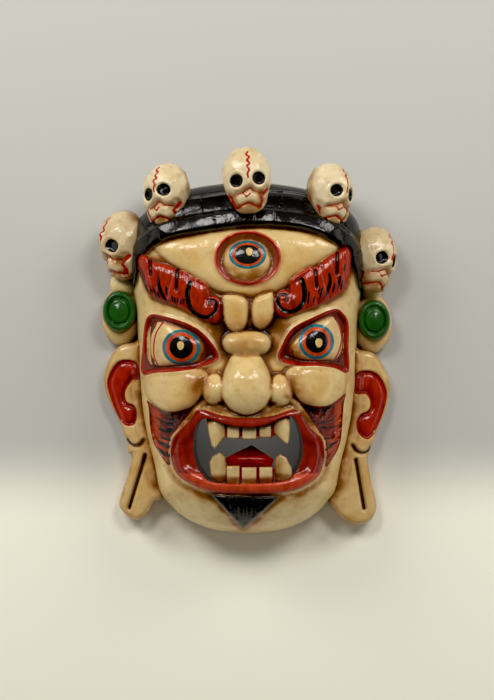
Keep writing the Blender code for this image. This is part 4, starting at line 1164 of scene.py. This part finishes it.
# The skulls are a paler cream than the face, painted tan and darker low down and round the back,
# as shade. Black lacquer shows no grain, only sharp lights.
SKULL_CREAM, SKULL_TAN = "#dcd0ac", "#c2aa78"
skull_paint = painted("tempera_on_the_skulls", [
    ("red", "#b0200f", "#8c1408"), ("socket", "#0b0a09", "#131110"),
], SKULL_CREAM, SKULL_TAN)
lacquer = painted("black_lacquer", [], "#070605", "#040403", 0.35, 0.0)
for name, centre, turn, slant, size, sockets in SKULLS:
    bm = bmesh.new()
    bmesh.ops.create_icosphere(bm, subdivisions=6, radius=1.0)
    local, fields = skull_form(points_of(bm), math.radians(slant), sockets)
    place = (Matrix.Translation(centre) @ Euler([math.radians(a) for a in turn]).to_matrix()
             .to_4x4() @ Matrix.Scale(size, 4))
    turned = local @ np.array(place.to_3x3()).T + np.array(centre)
    move_points(bm, turned)
    skull = new_object(f"{name}_skull", bm)
    # a little more painted shade on the two outer skulls
    fields["wash"] = fields["wash"] + (0.07 if name.startswith("outer") else 0.0)
    give(skull.data, **fields)
    finished(skull, skull_paint)
for index, (centre, radii) in enumerate(BOSSES):
    boss = drawn_out(f"hair_boss_{index}", ellipse(centre[:2], radii[:2]), centre[:2],
                     lambda x, y, reach: centre[2] - 8 + 0.6 * radii[2] * rounded(reach), 4.0)
    finished(boss, lacquer)
for side, (centre, radii) in zip(("left", "right"), NECKS):
    neck = drawn_out(f"{side}_neck", ellipse(centre, radii), centre,
                     lambda x, y, reach: 14 + 12 * rounded(reach), 2.0)
    x, y, z = points_of(neck.data).T
    # painted shade towards the neck's foot
    give(neck.data, wash=0.5 * (1 - ramp(z, 4, 16)))
    finished(neck, pad_paint)

# ---- The head's coats -----------------------------------------------------------------------
# Cream all over, then the reds, then black for hair, beard and brush strokes. The inside is left
# as the gouge left it, bare but for a rubbed-in stain.

HEAD_TRIANGLES = 195_000
OFF, ON = -9.0, 3.0  # a coat's depth where it is left out, and where it covers everything
RUBBED = [  # painted shade, light if negative: centre, reach across and up, strength
    ((-46, -42), (9, 14), 0.55), ((43, -44), (8, 16), 0.5), ((-31, 9), (11, 8), 0.65),
    ((30, 12), (9, 8), 0.4), ((0, -141), (50, 6), 0.6), ((-3, -160), (24, 12), 0.45),
    ((0, -70), (34, 4), 0.25), ((-1, -6), (18, 6), 0.35),
    ((-10, 12), (10, 8), 0.35), ((12, 14), (9, 8), 0.35), ((-54, -72), (9, 13), 0.6),
    ((54, -69), (9, 13), 0.6), ((-36, 28), (10, 8), 0.6), ((38, 32), (10, 8), 0.6),
    ((-26, -25), (9, 7), -1.0), ((25, -26), (9, 7), -1.0),
    ((0, -20), (40, 4), -0.4), ((-90, -34), (8, 8), -0.6), ((88, -34), (8, 8), -0.6),
    ((-33, -57), (10, 4), -0.5), ((32, -59), (10, 4), -0.5), ((0, -71), (12, 4), -0.6),
    ((-8, 44), (20, 4), -0.5), ((-115, 50), (14, 10), -0.6), ((2, 30), (2.5, 8), -0.7),
    ((-86, 79), (10, 5), -0.9), ((83, 82), (10, 5), -0.9), ((0, 95), (60, 4), -0.6),
    ((-41, -36), (6, 9), 0.4), ((38, -35), (6, 8), 0.2),
    ((48, 22), (16, 5), -0.5), ((-50, 22), (12, 5), -0.3), ((2, -75), (40, 3), -0.2),
]
WARMED = [  # tanner on cheeks, pads and bridge; paler on the chin: painted light
    ((-64, -42), (30, 22), 0.3), ((62, -40), (30, 22), 0.3), ((-30, -43), (12, 16), 0.1),
    ((0, 22), (28, 22), 0.35), ((0, -150), (75, 25), -0.35), ((0, -4), (24, 10), 0.2),
]


def spots_at(spots, x, y):
    return sum(strength * np.exp(-((x - centre[0]) / reach[0]) ** 2
                                 - ((y - centre[1]) / reach[1]) ** 2)
               for centre, reach, strength in spots)


def thin_out(made, triangles, *regions):
    """Cuts a mesh down to so many triangles within regions, each a mask and how freely."""
    group = made.vertex_groups.new(name="thinned")
    for mask, freely in regions:
        group.add(np.flatnonzero(mask).tolist(), freely, "REPLACE")
    faces = sum(len(polygon.vertices) - 2 for polygon in made.data.polygons)
    fewer = made.modifiers.new("fewer", "DECIMATE")
    fewer.ratio = min(1.0, triangles / faces)
    fewer.vertex_group = group.name
    fewer.vertex_group_factor = 1.0
    return apply_modifiers(made)


x, y, z = points_of(head.data).T
behind = ((z < hollow(x, y) + 3) & (depth_inside(MOUTH, x, y) < -12)) | (z < ON_THE_BACK)
walls = (z < 45) & (depth_inside(HEAD, x, y) < 10)
thin_out(head, HEAD_TRIANGLES, (walls, 0.35), (behind, 1.0))
points = points_of(head.data)
points[:, 2] = np.where(points[:, 2] < 0.3, 0.0, points[:, 2])
put_points(head.data, points)
x, y, z = points.T
front = np.where(z > hollow(x, y) + 2.5, 0, OFF)
strokes = np.full(x.shape, OFF)
for path, width in BROW_STROKES:
    strokes = np.maximum(strokes, stroke_depth(smooth(path, closed=False), width + 1.2, x, y))
for path, width in FLAME_STROKES:
    strokes = np.maximum(strokes, stroke_depth(smooth(path, closed=False), 1.6 * width + 0.2,
                                               x, y, 0.8))
for curl in CURLS:
    strokes = np.maximum(strokes, stroke_depth(curl, 5.2, x, y, 0.8))
ring = third_ring(x, y)
socket = socket_depth(x, y)
flame = flame_depth(x, y)
lips = depth_inside(LIPS, x, y)
beard = depth_inside(BEARD, x, y)
# painted shade and light in spots, and painted shade below the lower lip, along the folds and round
# the beard
rubbed = (spots_at(RUBBED, x, y) + 0.5 * groove(np.abs(lips + 4), 11) * ramp(-y, 100, 120)
          + 0.4 * groove(np.minimum(*(distance_from(fold, x, y) for fold in FOLDS)), 8)
          + 0.5 * groove(np.abs(beard + 2), 9))
lit_locks = np.maximum(np.abs(x) - 77, -88 - y)
# painted shade: darker red in the sunk sockets and ring, in the brow slots and on the mouth's sawn
# wall; painted light: brighter red on raised edges, a pink line on the ring's lip and a lighter
# lower lip
give(head.data,
     cheek_flame=flame + front,
     brow=brow_depth(x, y) + 1.3 + front,
     lips=lips - 0.4 + front,
     lower_lip=0.2 * np.minimum(lips - 0.4, -118 - y) + front,
     rim=socket + front,
     bowl=0.5 - ring + front,
     rim_edge=np.maximum(1.3 - np.abs(ring + 0.9), 2.0 - np.abs(socket - 1.2)) + front,
     rim_light=0.9 - np.abs(ring - 0.6) + front,
     flame_glow=0.15 * np.minimum(flame, lit_locks) + front,
     slot=np.maximum.reduce([2.0 - distance_from(slot, x, y) for slot in BROW_SLOTS]) + front,
     black=np.maximum.reduce([strokes, beard,
                              np.minimum(depth_inside(HAIR, x, y), -brow_depth(x, y) - 0.8)])
     + front,
     inner=np.where((depth_inside(MOUTH, x, y) > -8) & (z < 74) & (z > 20), ON, OFF),
     bare=np.where(front < 0, ON, OFF),
     wash=np.where(front < 0, 0.5, wash_at(x, y) * ramp(depth_inside(HEAD, x, y), 6, 22)
                   + rubbed) * ramp(z, 0, 10) * np.where(ring < 0, 0.4, 1)
     * (1 - 0.3 * ramp(socket, 0, 2)),
     warm=0.25 * ramp(depth_inside(FOREHEAD, x, y), -2, 8) + 0.25 + spots_at(WARMED, x, y))
# Matt cream and reds that the varnish makes deep, and hair as black and glossy as lacquer.
# Some reds are painted shade, darker in the sunk places, and some painted light, brighter on
# raised edges, on the ring's pink lip and on the lower lip.
face_paint = painted("tempera_on_the_face", [
    ("cheek_flame", "#701603", "#4c0c02"), ("flame_glow", "#ac3c0e", "#8c2e0a"),
    ("brow", "#9c2604", "#801802"), ("lips", "#841c0a", "#741406"),
    ("lower_lip", "#b84426", "#a03418"), ("rim", "#6c2410", "#4e180a"),
    ("bowl", "#7e3e1a", "#68300f"), ("rim_edge", "#961a07", "#7e1004"),
    ("rim_light", "#c4604c", "#b04030"), ("slot", "#5a1407", "#3c0c04"),
    ("inner", "#4a0c05", "#260704"), ("black", "#070605", "#040403"),
    ("bare", "#7d5d33", "#5f4424"),
])
finished(head, face_paint)

# ---- The room -------------------------------------------------------------------------------
# A pale sheet of card under the mask, large soft lamps over its crown, and a camera straight
# above the mask's middle.

FLOOR_HALF = 1.6  # metres, as are all the room's measures
FLOOR_DROP = 0.0005
CARD_LIT, CARD_SHADED = "#f8f6e5", "#b8b8b3"
SHADE_ENDS = (-0.175, -0.075)  # where the card's lit end gives way to the rest, along y
WARM, NEUTRAL, WHITE = (1.0, 0.97, 0.93), (1.0, 0.98, 0.95), (1.0, 1.0, 1.0)
MIDDLE = (0, 0, 0.05)  # what most lamps point at
LAMPS = [  # name, size, power, place, aim and colour
    ("crown_left", (0.42, 0.3), 6.9, (-0.42, 0.72, 1.25), MIDDLE, WARM),
    ("crown_right", (0.42, 0.3), 6.6, (0.42, 0.72, 1.25), MIDDLE, WARM),
    ("left_top", (0.5, 0.5), 9.0, (-0.9, 0.9, 0.8), MIDDLE, NEUTRAL),
    ("right_top", (0.5, 0.5), 7.2, (0.9, 0.9, 0.8), MIDDLE, NEUTRAL),
    ("left_side", (1.2, 0.4), 1.7, (-1.4, 0.0, 0.4), MIDDLE, NEUTRAL),
    ("right_side", (1.2, 0.4), 2.1, (1.4, 0.0, 0.4), MIDDLE, NEUTRAL),
    ("chin_left", (1.1, 0.3), 4.2, (-1.0, -1.0, 0.16), MIDDLE, NEUTRAL),
    ("chin_right", (1.1, 0.3), 4.2, (1.0, -1.0, 0.16), MIDDLE, NEUTRAL),
    ("chin_side", (0.5, 0.2), 0.5, (0.0, -1.4, 0.2), MIDDLE, NEUTRAL),
    ("inside", (0.12, 0.16), 0.023, (0.0, -0.02, 0.052), (0, -0.02, 0.0), WHITE),
]
CAMERA_PLACE = (-0.00045, -0.00475, 1.547)

bm = bmesh.new()
bmesh.ops.create_grid(bm, x_segments=1, y_segments=1, size=FLOOR_HALF)
bmesh.ops.translate(bm, verts=bm.verts, vec=(0, 0, -FLOOR_DROP))
floor = new_object("floor", bm)
# The card's tint is painted light and shade: pale past the chin, greyer under and beyond the mask.
card = bpy.data.materials.new("pale_card")
card.use_nodes = True
tree = card.node_tree
upwards = add_node(tree, "SeparateXYZ", {0: add_node(tree, "TexCoord", out="Object")}, out="Y")
tone = add_node(tree, "MapRange", {"Value": upwards, "From Min": SHADE_ENDS[0],
                                   "From Max": SHADE_ENDS[1]},
                interpolation_type="SMOOTHERSTEP")
tint = add_node(tree, "Mix", {0: tone, 6: linear(CARD_LIT), 7: linear(CARD_SHADED)}, **MIX)
shader = tree.nodes["Principled BSDF"]
tree.links.new(tint, shader.inputs["Base Color"])
shader.inputs["Roughness"].default_value = 0.7
shader.inputs["Specular IOR Level"].default_value = 0.2
floor.data.materials.append(card)

for name, size, power, place, aim, colour in LAMPS:
    lamp = bpy.data.lights.new(name, "AREA")
    lamp.shape = "RECTANGLE"
    lamp.size, lamp.size_y = size
    lamp.energy = power
    lamp.color = colour
    made = bpy.data.objects.new(name, lamp)
    made.location = place
    made.visible_glossy = not name.startswith("chin")  # these only fill the shadows
    made.rotation_euler = (Vector(place) - Vector(aim)).to_track_quat("Z", "Y").to_euler()
    bpy.context.scene.collection.objects.link(made)

# a dim fill from all round
world = bpy.data.worlds.new("room")
world.use_nodes = True
background = world.node_tree.nodes["Background"]
background.inputs["Color"].default_value = (0.85, 0.84, 0.8, 1.0)
background.inputs["Strength"].default_value = 0.08
bpy.context.scene.world = world

# plain tones, with the very darkest taken down to black
view = bpy.context.scene.view_settings
view.view_transform = "Standard"
view.use_curve_mapping = True
view.curve_mapping.black_level = (0.006, 0.006, 0.006)
view.curve_mapping.update()
camera = bpy.data.objects.new("camera", bpy.data.cameras.new("camera"))
camera.data.lens = 85.0
camera.data.sensor_width = 36.0
camera.location = CAMERA_PLACE
bpy.context.scene.collection.objects.link(camera)
bpy.context.scene.camera = camera
